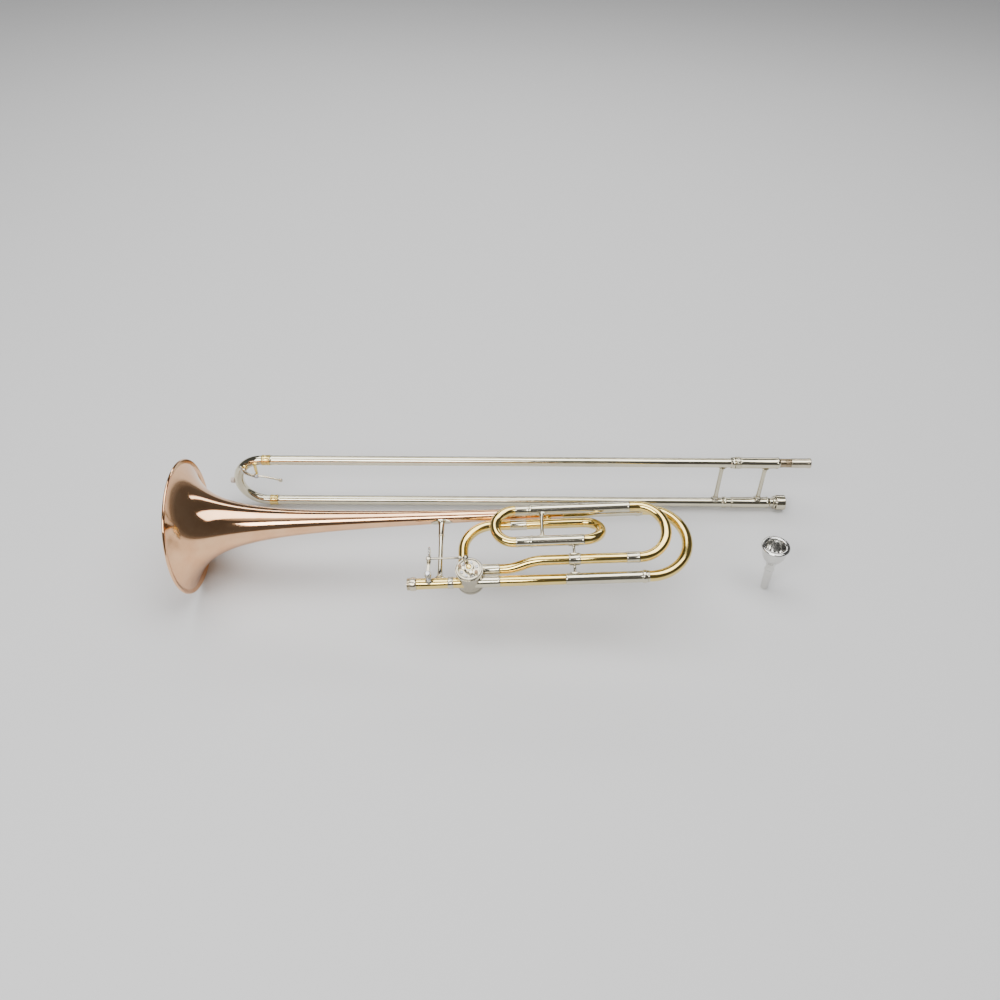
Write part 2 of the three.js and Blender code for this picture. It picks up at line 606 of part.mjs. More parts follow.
const LUG_TURN = 45;                   // the lug's rise from level, degrees
function lockRing() {
  const { start, end, outer, bore } = LOCK_RING;
  const middle = (start + end) / 2;
  const ring = union(
    pipe([[start, outer - 0.5], [start + 1, outer], [end - 1, outer], [end, outer - 0.5]], bore),
    rod([middle, -outer + 0.6, 0], [middle, -outer - 2.4, 0], 2.2, 16, 1.8),
  );
  return ring.rotate([-LUG_TURN, 0, 0]);
}
add(handSlide, 'slide_lock_ring', shifted(lockRing(), 0, upper), nickel);

// Bumper knob at the tip of the crook.
const crookRadius = SLIDE.spacing / 2;
const crookTip = CROOK_X - GAP - crookRadius;
const crookBow = swept(halfTurn([CROOK_X - GAP, 0, upper], [CROOK_X - GAP, 0, 0], -1),
  7.0 + GAP, 0, 20);
add(handSlide, 'crook_bumper', union(
  rod([crookTip - 4, 0, crookRadius], [crookTip - 11, 0, crookRadius], 4.6, 20),
  rod([crookTip - 11, 0, crookRadius], [crookTip - 13, 0, crookRadius], 4.6, 20, 3.0),
).subtract(crookBow), rubber);

// Water key: nozzle on the crook's near side, lever on a saddle, sprung shut.
const KEY = { nozzleTurn: 40, saddleTurn: 15, level: -13.2, arm: 1.5 };
const onCrook = (turn) => [CROOK_X - GAP - crookRadius * Math.sin(rad(turn)),
  upper - crookRadius * (1 - Math.cos(rad(turn)))];
const nozzleAt = onCrook(KEY.nozzleTurn);
const saddleAt = onCrook(KEY.saddleTurn);
const keyPivot = [-361, upper - 15];
const keyTip = [-327, upper - 27];
function waterKeyNozzle() {
  const tube = rod([nozzleAt[0], -5, nozzleAt[1]], [nozzleAt[0], -10.6, nozzleAt[1]], 4.0, 20, 3.4);
  const bore = rod([nozzleAt[0], -4, nozzleAt[1]], [nozzleAt[0], -12, nozzleAt[1]], 1.8);
  return tube.subtract(bore).subtract(crookBow);
}
add(handSlide, 'water_key_nozzle', waterKeyNozzle(), yellowBrass);

const pivotLevel = -12.4;
function waterKeySaddle() {
  const [x, z] = keyPivot;
  return union(
    rod([saddleAt[0], -5, saddleAt[1]], [x, -9.4, z], 2.6, 16),
    rod([x, -9.2, z - 7.4], [x, -9.2, z + 0.6], 1.9, 16),
  ).subtract(crookBow);
}
add(handSlide, 'water_key_saddle', waterKeySaddle(), yellowBrass);

function waterKey() {
  const [x, z] = keyPivot;
  const head = (y) => [nozzleAt[0], y, nozzleAt[1]];
  const hub = [x, pivotLevel - 1.6, z - 3.4];
  const tip = (y) => [keyTip[0], y, keyTip[1]];
  return union(
    rod(head(KEY.level - 0.2), head(KEY.level - 2.6), 4.8, 16),
    rod(head(KEY.level - 1.9), hub, KEY.arm),
    rod([x, hub[1], hub[2] - 3.6], [x, hub[1], hub[2] + 3.6], 2.3, 16),
    rod(hub, tip(hub[1]), KEY.arm),
    rod(tip(hub[1] + 1.0), tip(hub[1] - 1.6), 3.4, 20),
  );
}
add(handSlide, 'water_key', waterKey(), nickel);
add(handSlide, 'water_key_cork', rod([nozzleAt[0], -10.9, nozzleAt[1]],
  [nozzleAt[0], KEY.level + 0.1, nozzleAt[1]], 4.0, 16), cork);

// ---------------------------------------------------------------- mouthpiece
function mouthpiece() {
  const { height, rim } = MOUTHPIECE;
  const outline = [
    [0, 5.15], [36, 6.2], [38, 6.9], [41, 7.0], [44, 6.0], [50, 6.6], [56, 9.2], [61, 12.6],
    [66, 15.0], [72, 16.6], [height - 6, 17.4], [height - 4, 18.8], [height - 1.6, rim],
    [height - 0.4, rim - 0.8], [height, rim - 3], [height - 0.6, rim - 5.4],
    [height - 2.6, rim - 6.8], [height - 9, 12.2], [height - 15, 9.8], [height - 19.6, 6.2],
    [height - 23, 3.3], [height - 27, 3.2], [0, 4.2]];
  return turned(outline, 24).rotate([0, -90, 0]);
}
const mouthpieceMesh = new THREE.Mesh(skin(mouthpiece()), silver);
mouthpieceMesh.name = 'mouthpiece';
mouthpieceMesh.position.set(MOUTHPIECE.x, MOUTHPIECE.y, 0);
trombone.add(mouthpieceMesh);

export default trombone;
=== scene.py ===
"""Tenor trombone with an F attachment, lying in three pieces: the looks around the CAD frame."""
import json
import math

import bpy
from mathutils import Matrix, Vector


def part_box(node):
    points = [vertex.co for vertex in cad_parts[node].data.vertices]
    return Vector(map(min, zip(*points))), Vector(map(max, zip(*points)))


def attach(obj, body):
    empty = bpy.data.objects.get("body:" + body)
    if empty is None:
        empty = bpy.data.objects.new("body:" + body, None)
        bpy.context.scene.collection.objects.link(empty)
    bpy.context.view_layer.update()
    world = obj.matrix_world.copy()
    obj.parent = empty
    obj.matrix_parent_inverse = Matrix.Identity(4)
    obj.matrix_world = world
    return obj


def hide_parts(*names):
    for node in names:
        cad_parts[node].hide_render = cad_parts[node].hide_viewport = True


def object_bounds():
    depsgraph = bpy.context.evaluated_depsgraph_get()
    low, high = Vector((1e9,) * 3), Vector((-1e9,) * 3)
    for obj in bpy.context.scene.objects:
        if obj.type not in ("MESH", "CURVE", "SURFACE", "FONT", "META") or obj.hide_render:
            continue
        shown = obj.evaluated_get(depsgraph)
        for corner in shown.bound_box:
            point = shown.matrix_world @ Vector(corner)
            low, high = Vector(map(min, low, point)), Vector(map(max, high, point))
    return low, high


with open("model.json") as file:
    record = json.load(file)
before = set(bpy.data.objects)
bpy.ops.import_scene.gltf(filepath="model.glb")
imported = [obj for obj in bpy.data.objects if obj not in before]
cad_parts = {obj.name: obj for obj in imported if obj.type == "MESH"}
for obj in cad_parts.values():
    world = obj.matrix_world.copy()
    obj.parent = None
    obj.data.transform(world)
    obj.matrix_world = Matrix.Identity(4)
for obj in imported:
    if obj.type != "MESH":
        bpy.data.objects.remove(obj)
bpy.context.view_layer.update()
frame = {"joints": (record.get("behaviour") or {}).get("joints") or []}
joints = {joint["name"]: joint for joint in frame["joints"]}

MM = 0.001  # every local length below is in millimetres
ROUND = 56  # sides of a tube
TURN_STEP = math.radians(3.5)  # one step along a bend

# ---- the design's own sizes, mm
BELL_RIM, BELL_DECAY, BELL_THROAT, BELL_WALL, BELL_WIRE, BELL_END = 92.0, 0.9, 29.2, 0.7, 2.0, 510.0
LEG_Y = -104.0  # neckpipe and lower leg, off the bell's axis
VALVE = Vector((387.0, -95.0, 0.0))
VALVE_RADIUS, VALVE_HALF, PORT = 17.5, 16.0, 9.0
LEVER = Vector((335.0, LEG_Y, 0.0))
FORK_REACH, FORK_REST = 20.0, math.radians(87.886)
PADDLE_REACH, PADDLE_REST, PADDLE_RADIUS = 32.0, math.radians(88.0), 8.5
STOP_REACH, STOP_REST = 11.0, math.radians(110.0)
BUMPER_REACH = 12.0
BUMPER_TURNS = {"stop_bumper_near": 322.0, "stop_bumper_far": 168.0}
ROD_LEVEL = 28.2
SLEEVE_START, SLEEVE_END = 510.3, 614.0
AXIS_RUN = Vector()
LEG_RUN = Vector((0.0, LEG_Y, 0.0))
TOP_RUN = Vector((0.0, -8.0, 20.0))  # upper run of the F loop
LOW_RUN = Vector((0.0, -58.0, 20.0))  # lower run of the F loop
BACK_RUN = Vector((0.0, -81.0, 10.0))  # return run
MID_RUN = Vector((0.0, -17.0, 0.0))  # middle run, beside the bell's tail
PORT_RUN = Vector((0.0, VALVE.y + PORT, 0.0))  # the valve's return port
F_SLIDE_X, F_SMALL_BOW_X, F_LARGE_BOW_X = 466.0, 536.0, 598.0
RETURN_START, RETURN_END = 515.0, 606.0
BELL_BRACE_X, F_BRACE_X, LOOP_BRACE_X = 348.0, 482.0, 522.0
TAIL_KNOB_X, TAIL_FLANGE_X = 490.0, 556.0
OUTER_BRACE_X, INNER_BRACE_X, BARREL_END, CROOK_X = 323.0, 387.0, 406.0, -352.3
F_TUBE, F_BORE, SLIDE_TUBE, BARREL = 6.8, 6.1, 7.0, 8.1   # radii
CASING_FACE = 16.9  # where tubes meet the valve's round wall
JOINT = 0.3  # gap between two tubes that meet end to end
UP = Vector((0.0, 0.0, 1.0))


def frame_of(x_axis, z_axis, known_place, known_local):
    """Matrix of a local frame that has this X and Z axis and one point at a known place."""
    x = Vector(x_axis).normalized()
    z = Vector(z_axis).normalized()
    turn = Matrix((x, z.cross(x), z)).transposed()
    origin = Vector(known_place) - turn @ (known_local * MM)
    return Matrix.Translation(origin) @ turn.to_4x4()


rotor_axis = Vector(joints["rotor_turn"]["axis"])
SECTION = frame_of(joints["main_tuning_travel"]["axis"], rotor_axis * math.copysign(1, rotor_axis.z),
                   joints["rotor_turn"]["pos_m"], VALVE)
low_run_place = Vector(joints["tenon_nut_turn"]["pos_m"])
high_run_place = Vector(joints["slide_lock_turn"]["pos_m"])
SPACING = (high_run_place.z - low_run_place.z) / MM
SLIDE = Matrix.Translation((0.0, low_run_place.y, low_run_place.z))
mouth_low, mouth_high = (Vector(corner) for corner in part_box("mouthpiece"))
MOUTHPIECE = Matrix.Translation(((mouth_low.x + mouth_high.x) / 2, (mouth_low.y + mouth_high.y) / 2,
                                 mouth_low.z))
MOUTH_HEIGHT = (mouth_high.z - mouth_low.z) / MM
MOUTH_RIM = (mouth_high.x - mouth_low.x) / 2 / MM
UPPER = Vector((0.0, 0.0, SPACING))


# ---- shells: (vertices, faces), mm
def rounded(outline, fillet, closed=True):
    """The outline with each real corner eased by a short curve."""
    points = [Vector(point) for point in outline]
    count = len(points)
    eased = []
    for i, corner in enumerate(points):
        if not closed and i in (0, count - 1):
            eased.append(corner)
            continue
        before = points[i - 1] - corner
        after = points[(i + 1) % count] - corner
        turn = math.pi - before.angle(after, math.pi)
        if turn < math.radians(14):
            eased.append(corner)
            continue
        reach = min(fillet, before.length * 0.45, after.length * 0.45)
        start = corner + before.normalized() * reach
        end = corner + after.normalized() * reach
        for t in (0.0, 0.33, 0.67, 1.0):
            eased.append(start * (1 - t) ** 2 + corner * 2 * t * (1 - t) + end * t ** 2)
    return eased


def lathe(outline, sides=ROUND, fillet=0.25, knurl=None):
    """Closed outline of (x, radius) turned about X. knurl = (from_x, to_x, ridges, depth)."""
    solid = outline[0][1] == 0
    points = rounded(outline, fillet, closed=not solid)
    vertices, faces, rings = [], [], []
    for x, radius in points:
        if radius < 1e-6:
            rings.append([len(vertices)])
            vertices.append(Vector((x, 0, 0)))
            continue
        ring = []
        for k in range(sides):
            angle = 2 * math.pi * k / sides
            reach = radius
            if knurl and knurl[0] <= x <= knurl[1]:
                reach -= knurl[3] * (0.5 - 0.5 * math.cos(angle * knurl[2]))
            ring.append(len(vertices))
            vertices.append(Vector((x, reach * math.cos(angle), reach * math.sin(angle))))
        rings.append(ring)
    pairs = list(zip(rings, rings[1:])) + ([] if solid else [(rings[-1], rings[0])])
    for one, two in pairs:
        if len(one) == 1 and len(two) == 1:
            continue
        for k in range(sides):
            after = (k + 1) % sides
            if len(one) == 1:
                faces.append((one[0], two[after], two[k]))
            elif len(two) == 1:
                faces.append((one[k], one[after], two[0]))
            else:
                faces.append((one[k], one[after], two[after], two[k]))
    return vertices, faces


def turned_solid(points, sides=32, fillet=0.3, knurl=None):
    """Solid of revolution from (x, radius) points, closed on the axis at both ends."""
    outline = [(points[0][0], 0)] + list(points) + [(points[-1][0], 0)]
    return lathe(outline, sides, fillet, knurl)


def pipe(outside, bore, sides=ROUND, fillet=0.25, knurl=None):
    """Straight tube along X from (x, outer radius) points with one bore radius."""
    return lathe(list(outside) + [(outside[-1][0], bore), (outside[0][0], bore)], sides, fillet, knurl)


def merged(shells):
    """Several shells as one."""
    vertices, faces = [], []
    for shell_vertices, shell_faces in shells:
        start = len(vertices)
        vertices += shell_vertices
        faces += [tuple(index + start for index in face) for face in shell_faces]
    return vertices, faces


def moved(shell, offset):
    vertices, faces = shell
    return [vertex + offset for vertex in vertices], faces


def aimed(shell, start, end):
    """The shell with its X axis turned to run from start towards end."""
    vertices, faces = shell
    turn = Vector((1, 0, 0)).rotation_difference(Vector(end) - Vector(start))
    return [turn @ vertex + Vector(start) for vertex in vertices], faces


def upright(shell, spot):
    """The shell with its X axis turned up, standing over a spot."""
    return aimed(shell, spot, spot + UP)


def polar(centre, angle, reach):
    """The point at an angle and a distance from a centre, level with it."""
    return centre + Vector((math.cos(angle), math.sin(angle), 0)) * reach


def swept(path, outer, bore, sides=ROUND):
    """Hollow tube along a list of points, with square ends."""
    tangents = []
    for i in range(len(path)):
        ahead = path[min(i + 1, len(path) - 1)] - path[max(i - 1, 0)]
        tangents.append(ahead.normalized())
    side = tangents[0].orthogonal().normalized()
    vertices, faces = [], []
    for i, (point, tangent) in enumerate(zip(path, tangents)):
        if i:
            side = tangents[i - 1].rotation_difference(tangent) @ side
            side = (side - tangent * side.dot(tangent)).normalized()
        across = tangent.cross(side)
        for radius in (outer, bore):
            for k in range(sides):
                angle = 2 * math.pi * k / sides
                vertices.append(point + (side * math.cos(angle) + across * math.sin(angle)) * radius)
    row = 2 * sides
    for i in range(len(path) - 1):
        for k in range(sides):
            after = (k + 1) % sides
            a, b = i * row + k, i * row + after
            faces.append((a, b, b + row, a + row))
            c, d = a + sides, b + sides
            faces.append((d, c, c + row, d + row))
    last = (len(path) - 1) * row
    for k in range(sides):
        after = (k + 1) % sides
        faces.append((after, k, k + sides, after + sides))
        faces.append((last + k, last + after, last + after + sides, last + k + sides))
    return vertices, faces


def straight(start, end, step=6.0):
    """Points along a line."""
    count = max(2, int((end - start).length / step))
    return [start.lerp(end, i / count) for i in range(count + 1)]


def arc(centre, first, second, radius, angle_from, angle_to):
    """Points along an arc spanned by two unit directions."""
    count = max(3, int(abs(angle_to - angle_from) / TURN_STEP))
    angles = [angle_from + (angle_to - angle_from) * i / count for i in range(count + 1)]
    return [centre + (first * math.cos(a) + second * math.sin(a)) * radius for a in angles]


def half_turn(start, end, side):
    """Points of a half circle from start to end that bulges towards +X or -X."""
    centre = (start + end) / 2
    first = (start - centre).normalized()
    return arc(centre, first, Vector((side, 0, 0)), (start - centre).length, 0, math.pi)


def joined(*runs):
    """One path from several, without doubled points."""
    whole = list(runs[0])
    for run in runs[1:]:
        whole += run[1:] if (run[0] - whole[-1]).length < 0.01 else run
    return whole


def helix(base, radius, turns, rise, squash=1.0):
    """Points of a coil that stands on a base point and climbs by `rise` in each turn."""
    steps = 16
    path = []
    for i in range(turns * steps + 1):
        angle = 2 * math.pi * i / steps
        path.append(base + Vector((radius * math.cos(angle), radius * math.sin(angle) * squash,
                                   rise * i / steps)))
    return path


def bezier(a, b, c, d, count=26):
    """Points along a cubic curve from a to d."""
    path = []
    for i in range(count + 1):
        t = i / count
        path.append(a * (1 - t) ** 3 + b * 3 * t * (1 - t) ** 2 + c * 3 * t * t * (1 - t) + d * t ** 3)
    return path


def at_x(x, run):
    """The point of a run at a distance along X."""
    return Vector((x, run.y, run.z))


def saddle(x, run, towards, radius_at, half_length, half_width, thick=0.8, point=0.55):
    """Soldered flange that hugs a tube: a pointed oval plate wrapped round it."""
    towards = (towards - run).normalized()
    towards = Vector((0, towards.y, towards.z)).normalized()
    across = Vector((1, 0, 0)).cross(towards)
    rows, columns = 22, 10
    sunk, base = -0.3, -0.6      # the plate's edge and its hidden face lie under the tube's surface
    levels = [sunk] + [thick] * (columns - 1) + [sunk]
    vertices, faces = [], []
    for layer in (0, 1):
        for i in range(rows + 1):
            u = -1 + 2 * i / rows
            width = half_width * (max(0.0, 1 - abs(u) ** 1.6) ** point * 0.94 + 0.06)
            for j in range(columns + 1):
                v = -1 + 2 * j / columns
                edge = 1 - 0.75 * max(abs(u), abs(v)) ** 8
                height = (levels[j] if 0 < i < rows else sunk) * edge if layer else base
                place_x = x + u * half_length
                radius = radius_at(place_x)
                angle = v * width / radius
                direction = towards * math.cos(angle) + across * math.sin(angle)
                vertices.append(Vector((place_x, run.y, run.z)) + direction * (radius + height))
    stride = columns + 1
    sheet = (rows + 1) * stride
    for i in range(rows):
        for j in range(columns):
            a = i * stride + j
            faces.append((a, a + 1, a + stride + 1, a + stride))
            b = a + sheet
            faces.append((b, b + stride, b + stride + 1, b + 1))
    border = list(range(stride))
    border += [i * stride + columns for i in range(1, rows + 1)]
    border += [rows * stride + j for j in range(columns - 1, -1, -1)]
    border += [i * stride for i in range(rows - 1, 0, -1)]
    for one, two in zip(border, border[1:] + border[:1]):
        faces.append((two, one, one + sheet, two + sheet))
    return vertices, faces


def prism(outline, low, high, bevel=0.35):
    """Flat plate from a plane outline, with eased upper and lower edges."""
    count = len(outline)
    levels = ((low, bevel), (low + bevel, 0.0), (high - bevel, 0.0), (high, bevel))
    vertices, faces = [], []
    for z, inset in levels:
        for i, (x, y) in enumerate(outline):
            here = Vector((x, y, 0))
            before = Vector((*outline[i - 1], 0))
            after = Vector((*outline[(i + 1) % count], 0))
            inward = (after - before).cross(Vector((0, 0, -1))).normalized()
            vertices.append(here + inward * inset + Vector((0, 0, z)))
    for layer in range(len(levels) - 1):
        for i in range(count):
            a = layer * count + i
            b = layer * count + (i + 1) % count
            faces.append((a, b, b + count, a + count))
    top = (len(levels) - 1) * count
    faces.append(tuple(range(count - 1, -1, -1)))
    faces.append(tuple(range(top, top + count)))
    return vertices, faces


def link_outline(start, end, radius_start, radius_end, waist, steps=14):
    """Outline of a bar with a round eye at each end and a slimmer waist."""
    half_eye = 1.15                                # half of the arc that each eye shows
    along = (end - start).normalized()
    heading = math.atan2(along.y, along.x)
    points = []
    for here, there, radius, turn in ((end, start, radius_end, 0.0), (start, end, radius_start, math.pi)):
        for i in range(steps + 1):
            angle = heading + turn - half_eye + 2 * half_eye * i / steps
            points.append((here.x + radius * math.cos(angle), here.y + radius * math.sin(angle)))
        normal = Vector((-along.y, along.x)) * math.cos(turn)
        for t in (0.35, 0.65):
            spot = here.lerp(there, t)
            points.append((spot.x + normal.x * waist, spot.y + normal.y * waist))
    return points


# ---- materials
def node_tree(name):
    material = bpy.data.materials.new(name)
    material.use_nodes = True
    tree = material.node_tree
    return material, tree, tree.nodes["Principled BSDF"]


def add_node(tree, kind, **values):
    node = tree.nodes.new(kind)
    for key, value in values.items():
        if hasattr(node, key):
            setattr(node, key, value)
        else:
            node.inputs[key].default_value = value
    return node


def noise_value(tree, vector, scale, detail, roughness=0.5):
    node = add_node(tree, "ShaderNodeTexNoise", Scale=scale, Detail=detail, Roughness=roughness)
    tree.links.new(vector, node.inputs["Vector"])
    return node.outputs["Fac"]


def ranged(tree, value, low, high, to_low=0.0, to_high=1.0):
    """The value's stretch from low to high, spread over another range."""
    node = add_node(tree, "ShaderNodeMapRange")
    for key, number in (("From Min", low), ("From Max", high), ("To Min", to_low), ("To Max", to_high)):
        node.inputs[key].default_value = number
    tree.links.new(value, node.inputs["Value"])
    return node.outputs["Result"]


def mixed(tree, factor, first, second):
    """Mix of two colours, where the first is a colour or the output of a node."""
    node = add_node(tree, "ShaderNodeMix", data_type="RGBA")
    if isinstance(first, tuple):
        node.inputs[6].default_value = (*first, 1)
    else:
        tree.links.new(first, node.inputs[6])
    node.inputs[7].default_value = (*second, 1)
    tree.links.new(factor, node.inputs[0])
    return node.outputs[2]


def raised(tree, shader, height, strength):
    """Fine relief from a height value."""
    bump = add_node(tree, "ShaderNodeBump", Strength=strength, Distance=0.0004)
    tree.links.new(height, bump.inputs["Height"])
    tree.links.new(bump.outputs["Normal"], shader.inputs["Normal"])


def metal(name, light, dark, roughness, grain, grain_depth, coat=0.0, tarnish=None, tarnish_amount=0.3):
    """Polished metal: cloudy colour, uneven polish, fine marks along `grain`, dull film in places."""
    material, tree, shader = node_tree(name)
    shader.inputs["Metallic"].default_value = 1.0
    if coat:
        shader.inputs["Coat Weight"].default_value = coat
        shader.inputs["Coat Roughness"].default_value = 0.06
    place = add_node(tree, "ShaderNodeTexCoord").outputs["Object"]
    cloud = ranged(tree, noise_value(tree, place, 38.0, 4.0, 0.6), 0.35, 0.7)
    colour = mixed(tree, cloud, light, dark)
    if tarnish:
        spots = noise_value(tree, place, 120.0, 6.0, 0.75)
        colour = mixed(tree, ranged(tree, spots, 0.56, 0.78, 0.0, tarnish_amount), colour, tarnish)
    tree.links.new(colour, shader.inputs["Base Color"])
    stretch = add_node(tree, "ShaderNodeMapping", Scale=grain)
    tree.links.new(place, stretch.inputs["Vector"])
    marks = noise_value(tree, stretch.outputs["Vector"], 18.0, 5.0, 0.7)
    polish = ranged(tree, marks, 0.3, 0.75, roughness * 0.75, roughness * 1.45)
    tree.links.new(polish, shader.inputs["Roughness"])
    raised(tree, shader, marks, grain_depth)
    return material


def soft_material(name, light, dark, roughness, scale, depth):
    """Cork or rubber: speckled colour and a fine uneven surface."""
    material, tree, shader = node_tree(name)
    place = add_node(tree, "ShaderNodeTexCoord").outputs["Object"]
    speckle = add_node(tree, "ShaderNodeTexVoronoi", Scale=scale)
    tree.links.new(place, speckle.inputs["Vector"])
    cloud = noise_value(tree, place, scale * 0.6, 5.0)
    tree.links.new(mixed(tree, cloud, light, dark), shader.inputs["Base Color"])
    shader.inputs["Roughness"].default_value = roughness
    raised(tree, shader, speckle.outputs["Distance"], depth)
    return material


RINGS = (260.0, 5.0, 5.0)  # marks that run round a tube lying along X
LENGTHWISE = (5.0, 200.0, 200.0)  # marks that run along it
ROSE = metal("rose_brass", (0.91, 0.55, 0.31), (0.83, 0.46, 0.24), 0.08, RINGS, 0.03, coat=0.25,
             tarnish=(0.55, 0.24, 0.12), tarnish_amount=0.10)
BRASS = metal("yellow_brass", (0.88, 0.67, 0.23), (0.80, 0.58, 0.17), 0.09, LENGTHWISE, 0.03, coat=0.25,
              tarnish=(0.48, 0.27, 0.07), tarnish_amount=0.12)
NICKEL = metal("nickel_silver", (0.70, 0.65, 0.51), (0.62, 0.57, 0.43), 0.13, LENGTHWISE, 0.04,
               tarnish=(0.44, 0.38, 0.28), tarnish_amount=0.16)
TURNED = metal("turned_nickel", (0.68, 0.61, 0.47), (0.58, 0.51, 0.38), 0.22, RINGS, 0.10,
               tarnish=(0.40, 0.32, 0.20), tarnish_amount=0.25)
AGED = metal("aged_nickel", (0.52, 0.42, 0.29), (0.38, 0.29, 0.18), 0.24, RINGS, 0.08,
             tarnish=(0.20, 0.13, 0.07), tarnish_amount=0.45)
# Painted shade: nickel silver darkened all over, a shaded copy of the brighter nickel for parts that lie
# in shadow (valve casing, stop plate, thumb lever, linkage rod); its scattered tarnish spots are the
# metal's own.
SHADED_NICKEL = metal("shaded_nickel", (0.48, 0.44, 0.35), (0.38, 0.35, 0.27), 0.16, RINGS, 0.05,
               tarnish=(0.28, 0.23, 0.16), tarnish_amount=0.3)
CHROME = metal("slide_nickel", (0.75, 0.70, 0.54), (0.67, 0.62, 0.47), 0.09, LENGTHWISE, 0.02,
               tarnish=(0.52, 0.46, 0.36), tarnish_amount=0.08)
SILVER = metal("silver_plate", (0.74, 0.73, 0.70), (0.65, 0.64, 0.61), 0.14, (40.0, 40.0, 200.0), 0.04,
               tarnish=(0.48, 0.44, 0.38), tarnish_amount=0.12)
STEEL = metal("steel", (0.60, 0.60, 0.61), (0.48, 0.48, 0.50), 0.28, (120.0, 120.0, 120.0), 0.08)
CORK = soft_material("cork", (0.55, 0.37, 0.21), (0.36, 0.22, 0.12), 0.88, 900.0, 0.5)
IVORY = soft_material("bumper_rubber", (0.74, 0.66, 0.60), (0.66, 0.57, 0.50), 0.5, 1100.0, 0.15)
SLOTS = {ROSE: "rose_brass", BRASS: "yellow_brass", NICKEL: "nickel_silver", TURNED: "nickel_silver",
         AGED: "nickel_silver", SHADED_NICKEL: "nickel_silver", CHROME: "chrome_plate", SILVER: "silver_plate",
         STEEL: "steel", CORK: "cork", IVORY: "rubber"}     # unless a piece names its own


# ---- pieces
FORK = polar(LEVER, FORK_REST, FORK_REACH)
STOP_PIN = polar(VALVE, STOP_REST, STOP_REACH)


def piece(name, shells, place, material, slot, body, *nodes):
    """One Blender object from closed shells in a local frame; it stands for the named CAD nodes."""
    vertices, faces = merged(shells)
    mesh = bpy.data.meshes.new(name)
    mesh.from_pydata([place @ (vertex * MM) for vertex in vertices], [], faces)
    mesh.update()
    mesh.shade_smooth()
    mesh.set_sharp_from_angle(angle=math.radians(38))
    mesh.materials.append(material)
    obj = bpy.data.objects.new(name, mesh)
    bpy.context.scene.collection.objects.link(obj)
    bpy.context.view_layer.update()
    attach(obj, body)
    if nodes:
        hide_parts(*nodes)


def section_piece(name, shells, material, *nodes, body="bell_section", slot=None):
    """A piece of the bell section, in the frame of the bell's axis."""
    piece(name, shells, SECTION, material, slot or SLOTS[material], body, *nodes)


def slide_piece(name, shells, material, *nodes, body="outer_slide", slot=None):
    """A piece of the hand slide, in the frame of its lower tube."""
    piece(name, shells, SLIDE, material, slot or SLOTS[material], body, *nodes)


def casing_reach(off):
    """Distance from the valve's centre to its round wall, measured this far to one side."""
    off = min(abs(off), CASING_FACE - 0.3)
    return math.sqrt(CASING_FACE ** 2 - off ** 2)


def onto_valve(shell, side):
    """Fits the end of a tube that meets the valve along X onto the casing's round wall."""
    vertices, faces = shell
    end = max(v.x for v in vertices) if side < 0 else min(v.x for v in vertices)
    fitted = []
    for vertex in vertices:
        if abs(vertex.x - end) < 0.6:
            vertex = Vector((VALVE.x + side * casing_reach(vertex.y - VALVE.y), vertex.y, vertex.z))
        fitted.append(vertex)
    return fitted, faces


def bell_radius(x):
    return BELL_RIM * (BELL_THROAT / (BELL_THROAT + x)) ** BELL_DECAY


def make_bell():
    count = 110
    flare_start = 2.4
    outside = []
    for i in range(count + 1):
        x = flare_start + (BELL_END - flare_start) * (i / count) ** 2.2
        outside.append((x, bell_radius(x)))
    inside = []
    for x, radius in outside:
        slope = bell_radius(x + 0.5) - bell_radius(x - 0.5)
        length = math.hypot(1, slope)
        inside.append((x + BELL_WALL * slope / length, radius - BELL_WALL / length))
    inside[-1] = (BELL_END, inside[-1][1])
    wire = []
    for i in range(15):
        angle = math.radians(-62 + i * 15.5)
        wire.append((BELL_WIRE - BELL_WIRE * math.sin(angle),
                     BELL_RIM - BELL_WIRE + BELL_WIRE * math.cos(angle)))
    outline = outside + inside[::-1] + wire[::-1]
    section_piece("bell", [lathe(outline, 200, 0.05)], ROSE, "bell")


def bead(x, radius, width=1.6, height=0.55):
    """Points of a small raised ring on a tube's outline."""
    return [(x - width / 2, radius), (x - width / 2, radius + height * 0.6), (x, radius + height),
            (x + width / 2, radius + height * 0.6), (x + width / 2, radius)]


def make_tuning_sleeves():
    for name, run in (("upper_tuning_sleeve", AXIS_RUN), ("lower_tuning_sleeve", LEG_RUN)):
        outside = [(SLEEVE_START, 7.35), *bead(SLEEVE_START + 1.4, 7.5, 1.6, 0.35), (604.0, 7.5),
                   (607.0, 7.6), (608.4, 8.5), (611.6, 8.7), (612.6, 8.2), (SLEEVE_END, 8.1)]
        section_piece(name, [moved(pipe(outside, 7.0), run)], NICKEL, name)


def make_neckpipe():
    """Threaded collar that takes the hand slide, and the pipe from it to the valve."""
    collar = [(306, 7.8)]
    for i in range(4):
        x = 306.4 + i * 0.9
        collar += [(x, 7.8), (x + 0.3, 8.3), (x + 0.6, 7.8)]
    collar += [(310.2, 7.9), (310.4, 8.7), (312.2, 8.95), (316.0, 8.9), (317.3, 8.5), (318.0, 7.9)]
    section_piece("slide_receiver_collar", [moved(pipe(collar, 6.9, fillet=0.12), LEG_RUN)],
                  TURNED, "slide_receiver_collar")

    neck = [(318.3, 7.45), (345, 7.15), (352, 7.0), (378, 6.9)]
    section_piece("neckpipe", [onto_valve(moved(pipe(neck, 5.9), LEG_RUN), -1)], BRASS, "neckpipe")
    knuckle = [(358.5, 7.0), *bead(359.6, 7.5, 1.6, 0.5), *bead(364.4, 7.5, 1.6, 0.5), (366, 7.1)]
    section_piece("neck_ferrule", [moved(pipe(knuckle, 6.85), LEG_RUN)], NICKEL, "neckpipe")


